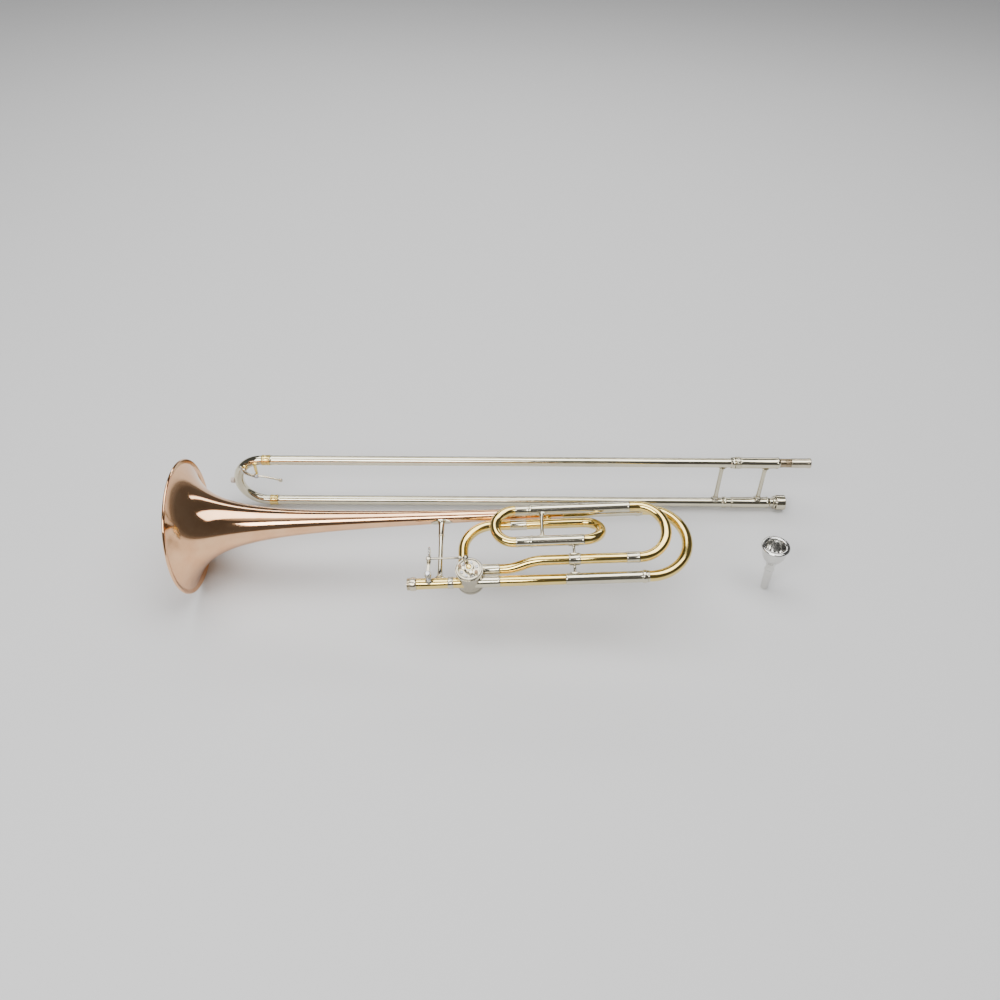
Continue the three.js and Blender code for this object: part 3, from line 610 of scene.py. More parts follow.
def make_lower_leg():
    ferrule = [(396, 7.5), (422.8, 7.5), *bead(424.4, 7.5, 1.8, 0.45), (426, 7.2)]
    section_piece("lower_leg_ferrule", [onto_valve(moved(pipe(ferrule, F_BORE), LEG_RUN), 1)],
                  NICKEL, "lower_leg_tube")
    section_piece("lower_leg_tube", [moved(pipe([(426.1, 7.0), (510.0, 7.0)], F_BORE), LEG_RUN)],
                  BRASS, "lower_leg_tube")


def screw_head(spot, radius, height, turn):
    """Slotted cheese-head screw standing on a spot, its slot turned to an angle."""
    half_slot, steps = 0.18, 14
    way = math.radians(turn)
    halves = []
    for side in (0, 1):
        half = []
        for i in range(steps + 1):
            angle = half_slot + (math.pi - 2 * half_slot) * i / steps + side * math.pi
            edge = polar(spot, angle + way, radius)
            half.append((edge.x, edge.y))
        halves.append(prism(half, spot.z + height * 0.55, spot.z + height, 0.15))
    base = upright(turned_solid([(0, radius), (height * 0.6, radius)], 28, 0.1), spot)
    return merged([base] + halves)


def make_valve_casing():
    half, radius = VALVE_HALF, VALVE_RADIUS
    wall = [(-half, radius + 0.5), (-half + 3.6, radius + 0.6), (-half + 4.2, radius), (-4.5, radius),
            (-4.0, radius + 0.25), (4.0, radius + 0.25), (4.5, radius), (half - 4.2, radius),
            (half - 3.6, radius + 0.6), (half, radius + 0.5)]
    # Painted shade: the casing's wall is made from the darkened copy of nickel silver, not the brighter
    # nickel.
    section_piece("valve_casing", [upright(pipe(wall, 15.6, 88), VALVE)], SHADED_NICKEL, "valve_casing")
    cap = [(-21.3, 3.2), (-20.5, 3.6), (-20.4, 9.5), (-19.0, 13.0), (-18.6, 16.2), (-18.2, 17.0),
           (-16.5, 17.0), (-16.3, 16.6)]
    milled_edge = (-18.4, -16.4, 60, 0.35)
    section_piece("valve_bottom_cap", [upright(turned_solid(cap, 240, 0.2, milled_edge), VALVE)],
                  NICKEL, "valve_bottom_cap")


def make_stop_plate():
    """Cover over the rotor, with its screws and the two bumpers that stop the arm."""
    plate = [(16.3, 17.0), (18.0, 17.0), (18.9, 16.4), (19.0, 14.6), (18.7, 14.2), (17.2, 14.0),
             (17.2, 6.6), (18.2, 6.2), (19.1, 5.9)]
    # Painted shade: the stop plate is made from the darkened copy of nickel silver.
    section_piece("stop_plate", [upright(pipe(plate, 3.3, 96, 0.15), VALVE)], SHADED_NICKEL, "stop_plate")
    lobes, screws = [], []
    for turn in BUMPER_TURNS.values():
        eyes = [polar(VALVE, math.radians(turn), reach).xy for reach in (6.2, BUMPER_REACH)]
        lobes.append(prism(link_outline(*eyes, 3.0, 4.1, 2.8), 17.0, 19.15))
    for turn in (20, 75, 130, 205, 250, 290):
        spot = polar(VALVE, math.radians(turn), 10.3) + UP * 17.1
        screws.append(screw_head(spot, 1.9, 1.5, turn))
    section_piece("stop_plate_lobes", lobes, NICKEL)
    section_piece("stop_plate_screws", screws, STEEL, slot="nickel_silver")
    for name, turn in BUMPER_TURNS.items():
        spot = polar(VALVE, math.radians(turn), BUMPER_REACH)
        post = turned_solid([(19.3, 2.3), (22.9, 2.3), (23.3, 1.9)], 32)
        cup = pipe([(19.3, 3.0), (21.4, 3.0)], 2.35, 32, 0.15)
        section_piece(name, [upright(post, spot)], CORK, name, slot="rubber")
        section_piece(name + "_seat", [upright(cup, spot)], NICKEL, name)


def make_rotor():
    """Rotor with its spindle, and the stop arm that the rod turns."""
    drum = [(-14, 14.7), (-13.6, 15.2), (13.6, 15.2), (14, 14.7), (14, 4.2), (15.9, 3.0), (22.8, 3.0),
            (23.4, 2.4)]
    section_piece("rotor", [upright(turned_solid(drum, 72), VALVE)], BRASS, "rotor",
                  body="rotor")
    heel = polar(VALVE, STOP_REST + math.pi, 8.0)
    arm = prism(link_outline(VALVE.xy, STOP_PIN.xy, 5.4, 3.3, 2.6), 19.9, 22.6)
    tail = prism(link_outline(VALVE.xy, heel.xy, 4.8, 2.3, 2.0), 19.85, 22.65)
    hub = pipe([(19.45, 5.4), (19.8, 5.8), (22.9, 5.8), (23.3, 5.2)], 3.1, 48)
    stud = turned_solid([(20.4, 1.7), (24.2, 1.7), (25.0, 1.3)], 24)
    section_piece("stop_arm", [arm, tail, upright(hub, VALVE), upright(stud, STOP_PIN)],
                  NICKEL, "stop_arm", body="rotor")
    head = [(23.7, 3.8), (24.3, 3.8), (24.7, 3.4), (24.9, 2.4), (25.25, 2.1)]
    section_piece("stop_arm_screw", [upright(turned_solid(head, 48), VALVE)], BRASS,
                  "stop_arm_screw", body="rotor", slot="steel")


def make_lever_post():
    foot = [(6.6, 5.2), (7.6, 4.9), (9.0, 3.6), (11.5, 2.7), (17.5, 2.6), (18.2, 3.4), (20.0, 3.4)]
    section_piece("lever_post", [upright(turned_solid(foot, 36, 0.8), LEVER)], NICKEL, "lever_post")
    screw = [(20.3, 1.9), (24.9, 1.9), (24.95, 3.5), (25.9, 3.5), (26.4, 2.6)]
    section_piece("lever_hinge_screw", [upright(turned_solid(screw, 32), LEVER)], STEEL,
                  "lever_hinge_screw")
    coil = helix(LEVER + UP * 12.6, 3.3, 5, 0.928)
    tail = straight(coil[-1], coil[-1] + Vector((1.2, 11, 1.6)))
    section_piece("lever_spring", [swept(joined(coil, tail), 0.5, 0.15, 12)], STEEL)


def make_thumb_lever():
    """Lever with one arm for the rod and one for the thumb's round paddle."""
    hub = pipe([(20.35, 4.2), (20.8, 4.5), (23.9, 4.5), (24.4, 4.2)], 2.1, 40)
    fork_arm = prism(link_outline(LEVER.xy, FORK.xy, 4.0, 3.1, 1.9), 20.9, 23.6)
    paddle_end = polar(LEVER, PADDLE_REST, PADDLE_REACH - PADDLE_RADIUS + 1.0)
    paddle_arm = prism(link_outline(LEVER.xy, paddle_end.xy, 3.8, 2.4, 1.8), 20.95, 23.55)
    boss = turned_solid([(19.6, 2.6), (24.3, 2.6), (24.6, 2.2)], 32)
    # Painted shade: the lever, its arms and the fork boss are made from the darkened copy of nickel
    # silver.
    section_piece("thumb_lever", [upright(hub, LEVER), fork_arm, paddle_arm, upright(boss, FORK)],
                  SHADED_NICKEL, "thumb_lever", body="thumb_lever")
    centre = polar(LEVER, PADDLE_REST, PADDLE_REACH) + UP * 22.3
    disc = [(-1.25, PADDLE_RADIUS - 1.4), (-0.9, PADDLE_RADIUS - 0.5), (0.1, PADDLE_RADIUS),
            (0.9, PADDLE_RADIUS - 0.3), (1.35, PADDLE_RADIUS - 1.3), (0.95, PADDLE_RADIUS - 2.6),
            (0.75, PADDLE_RADIUS - 5.0)]
    section_piece("thumb_paddle", [moved(turned_solid(disc, 64, 0.4), centre)],
                  SILVER, "thumb_paddle", body="thumb_lever")


def make_linkage_rod():
    """Rod with an eye over the lever's fork, a thread with its nut, and a ball end over the stop arm."""
    start, end = FORK + UP * ROD_LEVEL, STOP_PIN + UP * ROD_LEVEL
    length = (end - start).length
    radius, pitch = 1.45, 0.8
    x = length - 14.5
    shaft = [(3.0, radius), (x, radius)]
    while x < length - 7.5:
        shaft += [(x + 0.2, 1.5), (x + 0.5, 1.5), (x + 0.7, 1.2)]
        x += pitch
    shaft += [(length - 3.4, 1.3)]
    nut = turned_solid([(length - 8.6, 2.5), (length - 6.4, 2.5)], 6, 0.2)
    ball_end = [(-2.7, 2.6), (-2.2, 3.4), (-0.6, 3.7), (0.8, 3.7), (2.0, 3.1), (2.9, 2.0), (3.3, 1.0)]
    eye = [(24.8, 2.6), (25.4, 3.1), (29.4, 3.1), (30.0, 2.6), (30.2, 1.6)]
    # Painted shade: the rod, its nut, ball end and eye are made from the darkened copy of nickel silver.
    section_piece("linkage_rod", [
        aimed(turned_solid(shaft, 28, 0.15), start, end), aimed(nut, start, end),
        upright(turned_solid(ball_end, 40), end), upright(turned_solid(eye, 36), FORK)],
        SHADED_NICKEL, "linkage_rod", body="linkage")


def ferrule_outline(start, end, radius=7.4):
    """Sleeve ring with a bead at each end."""
    return [(start, radius - 0.25), *bead(start + 1.2, radius, 1.6, 0.4),
            *bead(end - 1.2, radius, 1.6, 0.4), (end, radius - 0.25)]


def make_gooseneck():
    """First bow of the F loop: out of the valve's far side and round to the middle run."""
    port_x, turn = VALVE.x - PORT, 38.0
    centre = Vector((port_x + turn, MID_RUN.y - turn, 0))
    path = joined(straight(Vector((port_x, VALVE.y + 12, 0)), Vector((port_x, centre.y, 0))),
                  arc(centre, Vector((-1, 0, 0)), Vector((0, 1, 0)), turn, 0, math.pi / 2),
                  straight(Vector((centre.x, MID_RUN.y, 0)), Vector((440, MID_RUN.y, 0))))
    vertices, faces = swept(path, F_TUBE, F_BORE)
    fitted = []
    for vertex in vertices:
        if vertex.y < VALVE.y + 12.5:
            vertex = Vector((vertex.x, VALVE.y + casing_reach(vertex.x - VALVE.x), vertex.z))
        fitted.append(vertex)
    section_piece("gooseneck", [(fitted, faces)], BRASS, "gooseneck")


def make_middle_run():
    section_piece("middle_ferrule", [moved(pipe(ferrule_outline(440.3, 462.0), 6.85), MID_RUN)],
                  NICKEL, "middle_run")
    tube = pipe([(440.5, F_TUBE), (F_SMALL_BOW_X, F_TUBE)], F_BORE)
    section_piece("middle_run", [moved(tube, MID_RUN)], BRASS, "middle_run")
    start = F_SMALL_BOW_X + JOINT
    bow = half_turn(at_x(start, MID_RUN), at_x(start, LOW_RUN), 1)
    section_piece("small_bow", [swept(bow, F_TUBE, F_BORE)], BRASS, "small_bow")


def make_f_sleeves():
    """Sleeves that the F tuning slide's legs run in."""
    start = F_SLIDE_X + JOINT
    for name, end, run in (("lower_f_sleeve", F_SMALL_BOW_X - JOINT, LOW_RUN),
                           ("upper_f_sleeve", F_LARGE_BOW_X, TOP_RUN)):
        outside = [(start, 7.4), *bead(start + 1.6, 7.6, 2.2, 0.5), (start + 3.4, 7.2), (end - 3, 7.2),
                   *bead(end - 1.3, 7.2, 1.8, 0.3), (end, 7.0)]
        section_piece(name, [moved(pipe(outside, 6.75), run)], NICKEL, name)


def make_return():
    """Large bow, the return run and the bend that brings it to the valve."""
    start, end = F_LARGE_BOW_X + JOINT, RETURN_END - JOINT
    large = joined(straight(at_x(start, TOP_RUN), at_x(RETURN_END, TOP_RUN)),
                   half_turn(at_x(RETURN_END, TOP_RUN), at_x(RETURN_END, BACK_RUN), 1))
    section_piece("large_bow", [swept(large, 7.0, F_BORE)], BRASS, "large_bow")
    section_piece("return_run", [moved(pipe([(RETURN_START, F_TUBE), (end, F_TUBE)], F_BORE), BACK_RUN)],
                  BRASS, "return_run")
    ferrules = [pipe(ferrule_outline(RETURN_START, 530.0), 6.85), pipe(ferrule_outline(589.0, end), 6.85)]
    section_piece("return_ferrules", [moved(shell, BACK_RUN) for shell in ferrules], NICKEL, "return_run")

    bend = joined(straight(at_x(RETURN_START - JOINT, BACK_RUN), at_x(482, BACK_RUN)),
                  bezier(at_x(482, BACK_RUN), at_x(460, BACK_RUN), at_x(452, PORT_RUN),
                         at_x(430, PORT_RUN)),
                  straight(at_x(430, PORT_RUN), at_x(426, PORT_RUN)))
    section_piece("s_bend", [swept(bend, F_TUBE, F_BORE)], BRASS, "s_bend")
    port = [(396, 7.3), *bead(406.2, 7.3, 1.6, 0.4), *bead(424.4, 7.3, 1.6, 0.4), (425.7, 7.1)]
    section_piece("valve_return_ferrule", [onto_valve(moved(pipe(port, F_BORE), PORT_RUN), 1)], NICKEL,
                  "valve_return_ferrule")


def both_ways(half, length):
    """Outline of a post whose second half mirrors its first."""
    return half + [(length - x, radius) for x, radius in reversed(half)]


def run_brace(name, x, run_a, radius_a, run_b, radius_b, radius=2.2, foot=3.6):
    """Brace across two runs of tube, with a small soldered flange on each."""
    across = (run_b - run_a).normalized()
    start = at_x(x, run_a) + across * (radius_a + 0.2)
    end = at_x(x, run_b) - across * (radius_b + 0.2)
    length = (end - start).length
    if length > 13:
        half = [(0, foot), (0.6, foot), (2.2, radius + 0.9), (4.4, radius), (5.2, radius + 0.45),
                (5.9, radius)]
        post = turned_solid(both_ways(half, length), 36, 0.5)
    else:
        half = [(0, foot), (0.5, foot), (1.4, radius)]
        post = turned_solid(both_ways(half, length), 36, 0.3)
    shells = [aimed(post, start, end),
              saddle(x, run_a, run_b, lambda _: radius_a, 6.8, 4.0),
              saddle(x, run_b, run_a, lambda _: radius_b, 6.8, 4.0)]
    section_piece(name, shells, NICKEL, name)


def make_bell_brace():
    """Main brace from the bell to the neckpipe, thicker over its first quarter."""
    x = BELL_BRACE_X
    start = Vector((x, -bell_radius(x) - 0.1, 0))
    end = Vector((x, LEG_Y + 7.3, 0))
    length = (end - start).length
    step = length * 0.25
    outline = [(0, 5.6), (0.8, 5.6), (2.6, 4.6), (5.5, 3.9), (step - 1.0, 3.8), (step - 0.6, 4.2),
               (step + 0.6, 4.2), (step + 1.2, 3.1), (length - 14, 3.1), (length - 6, 3.7),
               (length - 2.2, 4.8), (length - 0.8, 5.9), (length, 5.9)]
    shells = [aimed(turned_solid(outline, 44, 0.8), start, end),
              saddle(x, AXIS_RUN, LEG_RUN, bell_radius, 15.0, 6.4, 0.9, 0.8),
              saddle(x, LEG_RUN, AXIS_RUN, lambda _: 7.15, 8.0, 5.8, 0.8)]
    section_piece("bell_brace", shells, NICKEL, "bell_brace")


def make_loop_braces():
    run_brace("f_brace_upper", F_BRACE_X, TOP_RUN, 7.2, LOW_RUN, 7.2)
    run_brace("f_brace_middle", LOOP_BRACE_X, LOW_RUN, 7.2, BACK_RUN, 7.4, 1.9, 3.2)
    run_brace("f_brace_lower", LOOP_BRACE_X, BACK_RUN, 7.4, LEG_RUN, 7.5, 1.9, 3.2)
    run_brace("tail_flange", TAIL_FLANGE_X, AXIS_RUN, 7.5, TOP_RUN, 7.2, 2.6, 4.0)


def make_tail_knob():
    """Short post that holds the middle run beside the bell's tail."""
    x = TAIL_KNOB_X
    spot = at_x(x, AXIS_RUN) + Vector((0, -bell_radius(x), 0))
    knob = turned_solid([(-0.4, 3.4), (0.6, 2.6), (2.4, 2.6), (3.4, 3.4)], 32, 0.5)
    shells = [aimed(knob, spot, spot + Vector((0, -1, 0))),
              saddle(x, AXIS_RUN, MID_RUN, bell_radius, 6.0, 3.8),
              saddle(x, MID_RUN, AXIS_RUN, lambda _: F_TUBE, 6.0, 3.8)]
    section_piece("tail_knob", shells, BRASS, "tail_knob", slot="nickel_silver")


def make_main_tuning_slide():
    start = SLEEVE_END + JOINT
    bow_x = start + 4
    bow = joined(straight(at_x(start, AXIS_RUN), at_x(bow_x, AXIS_RUN)),
                 half_turn(at_x(bow_x, AXIS_RUN), at_x(bow_x, LEG_RUN), 1),
                 straight(at_x(bow_x, LEG_RUN), at_x(start, LEG_RUN)))
    section_piece("main_tuning_bow", [swept(bow, 7.1, 6.0)], BRASS,
                  "main_tuning_slide", body="main_tuning_slide")
    rings, legs = [], []
    for run in (AXIS_RUN, LEG_RUN):
        ring = [(start, 7.5), *bead(start + 1.1, 7.5, 1.4, 0.5), (start + 2.4, 7.3)]
        rings.append(moved(pipe(ring, 7.12), run))
        legs.append(moved(pipe([(start - 96, 6.45), (start - 95, 6.65), (start + 1, 6.65)], 6.05), run))
    section_piece("main_tuning_rings", rings, NICKEL, body="main_tuning_slide")
    section_piece("main_tuning_legs", legs, NICKEL, body="main_tuning_slide")


def make_f_tuning_slide():
    start = F_SLIDE_X - JOINT
    bow_x = start - 20
    bow = joined(straight(at_x(bow_x + 4, TOP_RUN), at_x(bow_x, TOP_RUN)),
                 half_turn(at_x(bow_x, TOP_RUN), at_x(bow_x, LOW_RUN), -1),
                 straight(at_x(bow_x, LOW_RUN), at_x(bow_x + 4, LOW_RUN)))
    section_piece("f_tuning_bow", [swept(bow, F_TUBE, 5.8)], BRASS,
                  "f_tuning_slide", body="f_tuning_slide")
    ferrules, legs = [], []
    for run in (TOP_RUN, LOW_RUN):
        outside = [(bow_x + 2, 6.95), *bead(bow_x + 3.2, 7.05, 1.4, 0.3), (start - 2.4, 7.0),
                   *bead(start - 1.2, 7.0, 1.6, 0.45), (start, 6.9)]
        ferrules.append(moved(pipe(outside, 6.82), run))
        legs.append(moved(pipe([(start - 16, 6.4), (start + 60, 6.4)], 5.85), run))
    section_piece("f_tuning_ferrules", ferrules, NICKEL, body="f_tuning_slide")
    section_piece("f_tuning_legs", legs, NICKEL, body="f_tuning_slide")


def make_slide_tubes():
    for suffix, run in (("_upper", UPPER), ("_lower", Vector())):
        outer = [(-339.7, 7.4), (-338.9, 7.7), (-337.9, 7.2), (-337.2, SLIDE_TUBE), (333.6, SLIDE_TUBE),
                 (334.4, 8.1), (335.2, 8.8), (336.4, 8.3), (337.8, 8.3), (338.9, 8.8), (339.7, 8.3),
                 (340.0, 7.2), (398.0, SLIDE_TUBE)]
        slide_piece("outer_tube" + suffix, [moved(pipe(outer, 6.45), run)], CHROME,
                    "outer_tube" + suffix)
        ring = [(-352.0, 7.3), *bead(-350.8, 7.5, 1.7, 0.5), *bead(-348.6, 7.5, 1.2, 0.25),
                *bead(-343.6, 7.5, 1.2, 0.25), *bead(-341.5, 7.5, 1.7, 0.5), (-340.0, 7.3)]
        slide_piece("crook_ferrule" + suffix, [moved(pipe(ring, 6.0, fillet=0.15), run)], BRASS,
                    "crook_ferrule" + suffix)
        inner = [(-336.0, 5.95), (-335.4, 6.12), (-276.0, 6.12), (-272.0, 6.05), (399.7, 6.05)]
        slide_piece("inner_tube" + suffix, [moved(pipe(inner, 5.4), run)], CHROME,
                    "inner_tube" + suffix, body="inner_slide")
        barrel = [(348.0, 8.0), *bead(349.4, BARREL, 1.8, 0.25), (401.0, BARREL),
                  *bead(402.6, BARREL, 2.2, 0.7), (404.4, 7.9), (BARREL_END, 6.9), (BARREL_END, 5.4),
                  (400.0, 5.4), (400.0, 7.35), (348.0, 7.35)]
        slide_piece("cork_barrel" + suffix, [moved(lathe(barrel), run)], CHROME,
                    "cork_barrel" + suffix, body="inner_slide", slot="nickel_silver")


def slide_brace(name, x, radius, body):
    """Brace across the two legs of the hand slide."""
    start = Vector((x, 0, radius + 0.2))
    end = Vector((x, 0, SPACING - radius - 0.2))
    length = (end - start).length
    outline = [(0, 6.0), (0.7, 6.0), (1.6, 4.6), (4.8, 3.4), (6.0, 3.9), (7.2, 3.1), (length / 2, 3.1),
               (length - 7.2, 3.1), (length - 6.0, 3.9), (length - 4.8, 3.4), (length - 1.6, 4.6),
               (length - 0.7, 6.0), (length, 6.0)]
    shells = [aimed(turned_solid(outline, 44, 0.6), start, end),
              saddle(x, Vector(), UPPER, lambda _: radius, 8.5, 6.0),
              saddle(x, UPPER, Vector(), lambda _: radius, 8.5, 6.0)]
    slide_piece(name, shells, NICKEL, name, body=body)


def make_receiver():
    """Neck and socket that take the mouthpiece."""
    start = BARREL_END + JOINT
    neck = [(start, 6.7), (start + 7.8, 6.5)]
    for i in range(3):
        x = start + 8.6 + i * 2.3
        neck += [(x, 6.1), (x + 0.4, 6.8), (x + 1.2, 6.8), (x + 1.6, 6.1)]
    neck += [(start + 15.6, 6.1), (start + 15.6, 5.1), (start, 5.1)]
    slide_piece("receiver_neck", [moved(lathe(neck), UPPER)], AGED,
                "mouthpiece_receiver", body="inner_slide")
    socket = [(422.0, 6.5), (422.6, 7.1), (446.8, 7.1), (447.2, 7.6), (450.2, 7.6), (451.0, 7.2),
              (451.0, 6.1), (413.0, 5.15), (413.0, 5.3), (422.0, 5.3)]
    slide_piece("mouthpiece_receiver", [moved(lathe(socket, fillet=0.2), UPPER)],
                TURNED, "mouthpiece_receiver", body="inner_slide")


def make_tenon():
    """Tenon that goes into the bell section's collar, and its knurled nut."""
    tenon = [(BARREL_END + JOINT, 6.9), (411.0, 6.9), (411.4, 9.9), (413.6, 9.9), (414.0, 6.9),
             (415.0, 6.6), (416.0, 6.9), (427.0, 6.5)]
    slide_piece("tenon", [pipe(tenon, 5.4, fillet=0.2)], NICKEL, "tenon",
                body="inner_slide")
    nut = [(415.5, 10.8), (416.3, 11.5), (428.7, 11.5), (429.5, 10.8)]
    knurl = (417.2, 427.8, 30, 0.9)
    slide_piece("tenon_lock_nut", [pipe(nut, 8.7, 240, 0.35, knurl)], NICKEL, "tenon_lock_nut",
                body="tenon_nut")


def make_slide_lock():
    ring = [(340.4, 8.6), (340.9, 9.1), (342.2, 9.3), (342.9, 8.8), (345.1, 8.8), (345.8, 9.3),
            (347.1, 9.1), (347.6, 8.6)]
    lug = turned_solid([(0, 2.6), (1.4, 2.4), (2.6, 2.0), (3.2, 1.2)], 28)
    slope = Vector((0, -1, 1)).normalized()
    spot = at_x(344.0, UPPER) + slope * 8.5
    slide_piece("slide_lock_ring", [moved(pipe(ring, 7.5), UPPER), aimed(lug, spot, spot + slope)],
                NICKEL, "slide_lock_ring", body="slide_lock")


def make_crook():
    bow = half_turn(at_x(CROOK_X, UPPER), at_x(CROOK_X, Vector()), -1)
    slide_piece("crook", [swept(bow, SLIDE_TUBE, 6.0)], CHROME, "crook", slot="nickel_silver")
    tip = Vector((CROOK_X - SPACING / 2 - SLIDE_TUBE - 0.1, 0, SPACING / 2))
    knob = turned_solid([(-0.3, 3.9), (0.8, 4.6), (2.2, 4.6), (3.2, 4.0), (4.2, 4.6), (5.4, 3.4),
                         (5.8, 1.6)], 40, 0.6)
    slide_piece("crook_bumper", [aimed(knob, tip, tip - Vector((1, 0, 0)))], IVORY, "crook_bumper")


def on_crook(turn):
    """Centre of the crook's tube, this many degrees round from its upper end."""
    angle, radius = math.radians(turn), SPACING / 2
    return Vector((CROOK_X - radius * math.sin(angle), 0, SPACING - radius * (1 - math.cos(angle))))


def make_water_key():
    """Nozzle and saddle on the crook, and the key whose cork a spring holds on the nozzle."""
    near = Vector((0, -1, 0))
    nozzle, foot = on_crook(40), on_crook(15)
    pivot = Vector((CROOK_X - 8.7, 0, SPACING - 15.0))
    tube = pipe([(6.6, 4.6), (7.4, 3.7), (9.6, 3.4), (10.2, 3.9), (10.6, 3.7)], 1.9, 40)
    slide_piece("water_key_nozzle", [aimed(tube, nozzle, nozzle + near)], BRASS, "water_key_nozzle")
    arm_start, arm_end = foot + near * 6.2, pivot + near * 9.6
    reach = (arm_end - arm_start).length
    post = turned_solid([(-1.0, 3.8), (0.8, 3.4), (2.4, 2.5), (reach - 1, 2.1), (reach, 1.7)], 28)
    barrel = turned_solid([(-7.6, 1.5), (-7.2, 1.9), (0.4, 1.9), (0.8, 1.5)], 28)
    shells = [aimed(post, arm_start, arm_end), upright(barrel, pivot + near * 9.2)]
    slide_piece("water_key_saddle", shells, BRASS, "water_key_saddle")

    hub = pivot + near * 14 - UP * 3.4
    tip = Vector((-327.0, -14.0, SPACING - 27.0))
    head = nozzle + near * 15
    cap = turned_solid([(13.4, 4.6), (14.2, 4.8), (15.2, 4.4), (15.9, 2.4)], 40)
    arm = bezier(head, head.lerp(hub, 0.35) - UP * 1.6, head.lerp(hub, 0.7) - UP * 1.2, hub, 14)
    blade = bezier(hub, hub.lerp(tip, 0.25) + UP * 1.6, hub.lerp(tip, 0.65) + UP * 1.4, tip, 20)
    pin = turned_solid([(-3.6, 1.9), (-3.2, 2.3), (3.2, 2.3), (3.6, 1.9)], 28)
    touch = turned_solid([(-1.2, 2.4), (-0.6, 3.2), (0.8, 3.3), (1.3, 2.6), (1.1, 1.2)], 36)
    slide_piece("water_key", [aimed(cap, nozzle, nozzle + near), swept(arm, 1.4, 0.4, 20),
                              swept(blade, 1.5, 0.4, 20), upright(pin, hub),
                              aimed(touch, tip, tip + near)],
                NICKEL, "water_key", body="water_key")
    cork = turned_solid([(10.9, 3.8), (12.9, 4.0), (13.3, 3.8)], 36)
    slide_piece("water_key_cork", [aimed(cork, nozzle, nozzle + near)], CORK, "water_key_cork",
                body="water_key")
    coil = helix(hub - UP * 3.0, 2.85, 6, 0.992, 0.9)
    slide_piece("water_key_spring", [swept(coil, 0.45, 0.12, 12)], STEEL, body="water_key")
    guard = bezier(hub + Vector((-1, -1.6, -2)), hub + Vector((-9, -3.4, 3)),
                   nozzle + Vector((-5, -17.8, -1)), nozzle + Vector((-2.0, -17.0, 12)), 24)
    slide_piece("water_key_guard", [swept(guard, 0.95, 0.25, 16)], SILVER, body="water_key",
                slot="nickel_silver")


def make_mouthpiece():
    height, rim = MOUTH_HEIGHT, MOUTH_RIM
    outside = [(0, 5.15), (36.0, 6.2), (37.2, 6.9), (38.6, 7.0), (40.4, 6.2), (43.0, 5.9), (47.0, 6.3),
               (52.0, 7.6), (57.0, 10.4), (62.0, 13.6), (66.0, 15.4), (71.0, 16.6), (76.0, 17.2),
               (height - 6.2, 17.5), (height - 5.2, 17.4), (height - 4.6, 18.5),
               (height - 3.0, rim - 0.1), (height - 1.8, rim - 0.1)]
    cup = [(height - 0.5, rim - 1.2), (height - 0.05, rim - 2.6), (height, rim - 3.6),
           (height - 0.2, rim - 4.8), (height - 0.9, rim - 6.0), (height - 2.4, rim - 6.8),
           (height - 6.0, 12.1), (height - 10.0, 11.3), (height - 13.5, 9.9), (height - 16.6, 7.9),
           (height - 19.4, 5.6), (height - 21.8, 3.9), (height - 23.6, 3.3), (height - 27.0, 3.2),
           (0, 4.2)]
    piece("mouthpiece", [upright(lathe(outside + cup, 112, 0.5), Vector())], MOUTHPIECE, SILVER,
          "silver_plate", "mouthpiece", "mouthpiece")


make_bell()
make_tuning_sleeves()
make_neckpipe()
make_lower_leg()
make_valve_casing()
make_stop_plate()
make_rotor()
make_lever_post()
make_thumb_lever()
make_linkage_rod()
make_gooseneck()
make_middle_run()
make_f_sleeves()
make_return()
make_bell_brace()
make_loop_braces()
make_tail_knob()
make_main_tuning_slide()
make_f_tuning_slide()
make_slide_tubes()
slide_brace("outer_brace", OUTER_BRACE_X, SLIDE_TUBE, "outer_slide")
slide_brace("inner_brace", INNER_BRACE_X, BARREL, "inner_slide")
make_receiver()
make_tenon()
make_slide_lock()
make_crook()
make_water_key()
make_mouthpiece()


# ---- floor, light and camera
def make_floor():
    half = 4.0
    mesh = bpy.data.meshes.new("floor")
    corners = [(-half, -half, 0), (half, -half, 0), (half, half, 0), (-half, half, 0)]
    mesh.from_pydata(corners, [], [(0, 1, 2, 3)])
    floor = bpy.data.objects.new("floor", mesh)
    bpy.context.scene.collection.objects.link(floor)
    material, _, shader = node_tree("floor")
    shader.inputs["Base Color"].default_value = (0.72, 0.72, 0.72, 1)
    shader.inputs["Roughness"].default_value = 0.9
    mesh.materials.append(material)
    floor.location.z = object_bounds()[0][2] - 0.0005


def make_light(name, place, target, width, depth, watts):
    data = bpy.data.lights.new(name, "AREA")
    data.shape = "RECTANGLE"
    data.size, data.size_y = width, depth
    data.energy = watts
    light = bpy.data.objects.new(name, data)
    bpy.context.scene.collection.objects.link(light)
    light.location = place
    light.rotation_euler = (Vector(target) - Vector(place)).to_track_quat("-Z", "Y").to_euler()


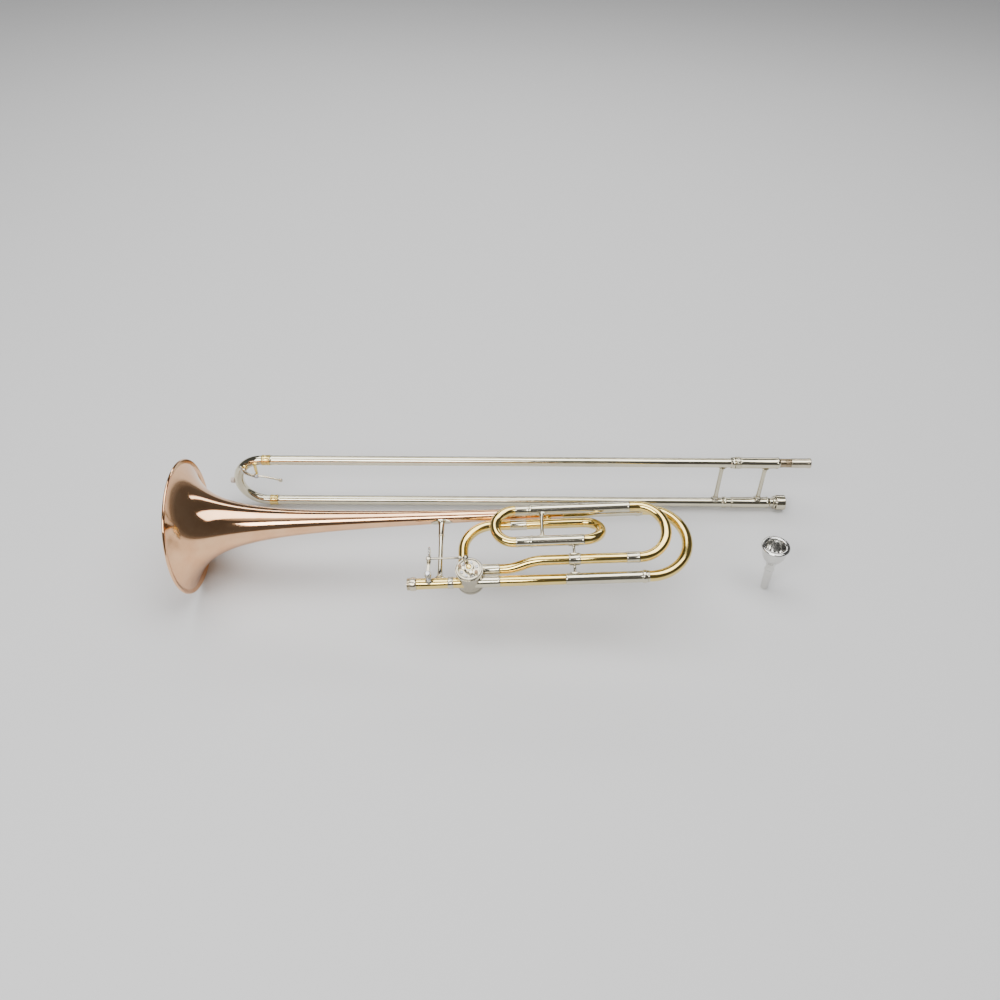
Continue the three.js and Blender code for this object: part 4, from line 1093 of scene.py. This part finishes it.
def make_world():
    """Studio surround: a bright ceiling, darker walls, so that the metal has something to show."""
    world = bpy.data.worlds.new("studio")
    bpy.context.scene.world = world
    world.use_nodes = True
    tree = world.node_tree
    background = tree.nodes["Background"]
    place = add_node(tree, "ShaderNodeTexCoord")
    split = add_node(tree, "ShaderNodeSeparateXYZ")
    tree.links.new(place.outputs["Generated"], split.inputs["Vector"])
    ramp = add_node(tree, "ShaderNodeValToRGB")
    steps = ((0.0, 0.4), (0.50, 0.25), (0.55, 0.13), (0.94, 0.09), (0.975, 0.75), (1.0, 1.0))
    elements = ramp.color_ramp.elements
    while len(elements) < len(steps):
        elements.new(0.5)
    for element, (place_at, level) in zip(elements, steps):
        element.position = place_at
        element.color = (level, level, level * 1.01, 1)
    tree.links.new(ranged(tree, split.outputs["Z"], -1.0, 1.0), ramp.inputs["Fac"])
    tree.links.new(ramp.outputs["Color"], background.inputs["Color"])
    background.inputs["Strength"].default_value = 0.9


def make_camera():
    """Camera set as the photo was taken, placed from the centre of the bell's rim."""
    elevation, azimuth, roll = math.radians(43.9), math.radians(0.4), math.radians(-0.6)
    ahead = Vector((math.sin(azimuth) * math.cos(elevation), math.cos(azimuth) * math.cos(elevation),
                    -math.sin(elevation)))
    right = Vector((math.cos(azimuth), -math.sin(azimuth), 0))
    down = ahead.cross(right)
    tilted_right = right * math.cos(roll) + down * math.sin(roll)
    tilted_down = down * math.cos(roll) - right * math.sin(roll)
    data = bpy.data.cameras.new("camera")
    data.sensor_width = 36.0
    data.lens = 34.74
    data.clip_end = 30.0
    camera = bpy.data.objects.new("camera", data)
    bpy.context.scene.collection.objects.link(camera)
    place = SECTION @ Vector() + Vector((0.4191, -0.9215, 0.9399))
    camera.matrix_world = Matrix.Translation(place) @ Matrix(
        (tilted_right, -tilted_down, -ahead)).transposed().to_4x4()
    bpy.context.scene.camera = camera


make_floor()
make_world()
make_light("overhead", (0.1, 0.2, 2.6), (0.05, 0.1, 0.0), 3.6, 1.5, 84)
make_light("key", (-0.9, -1.7, 1.9), (-0.1, 0.0, 0.05), 1.7, 0.8, 48)
make_light("strip", (0.2, 1.9, 1.3), (0.0, 0.0, 0.05), 2.6, 0.30, 12)
make_camera()
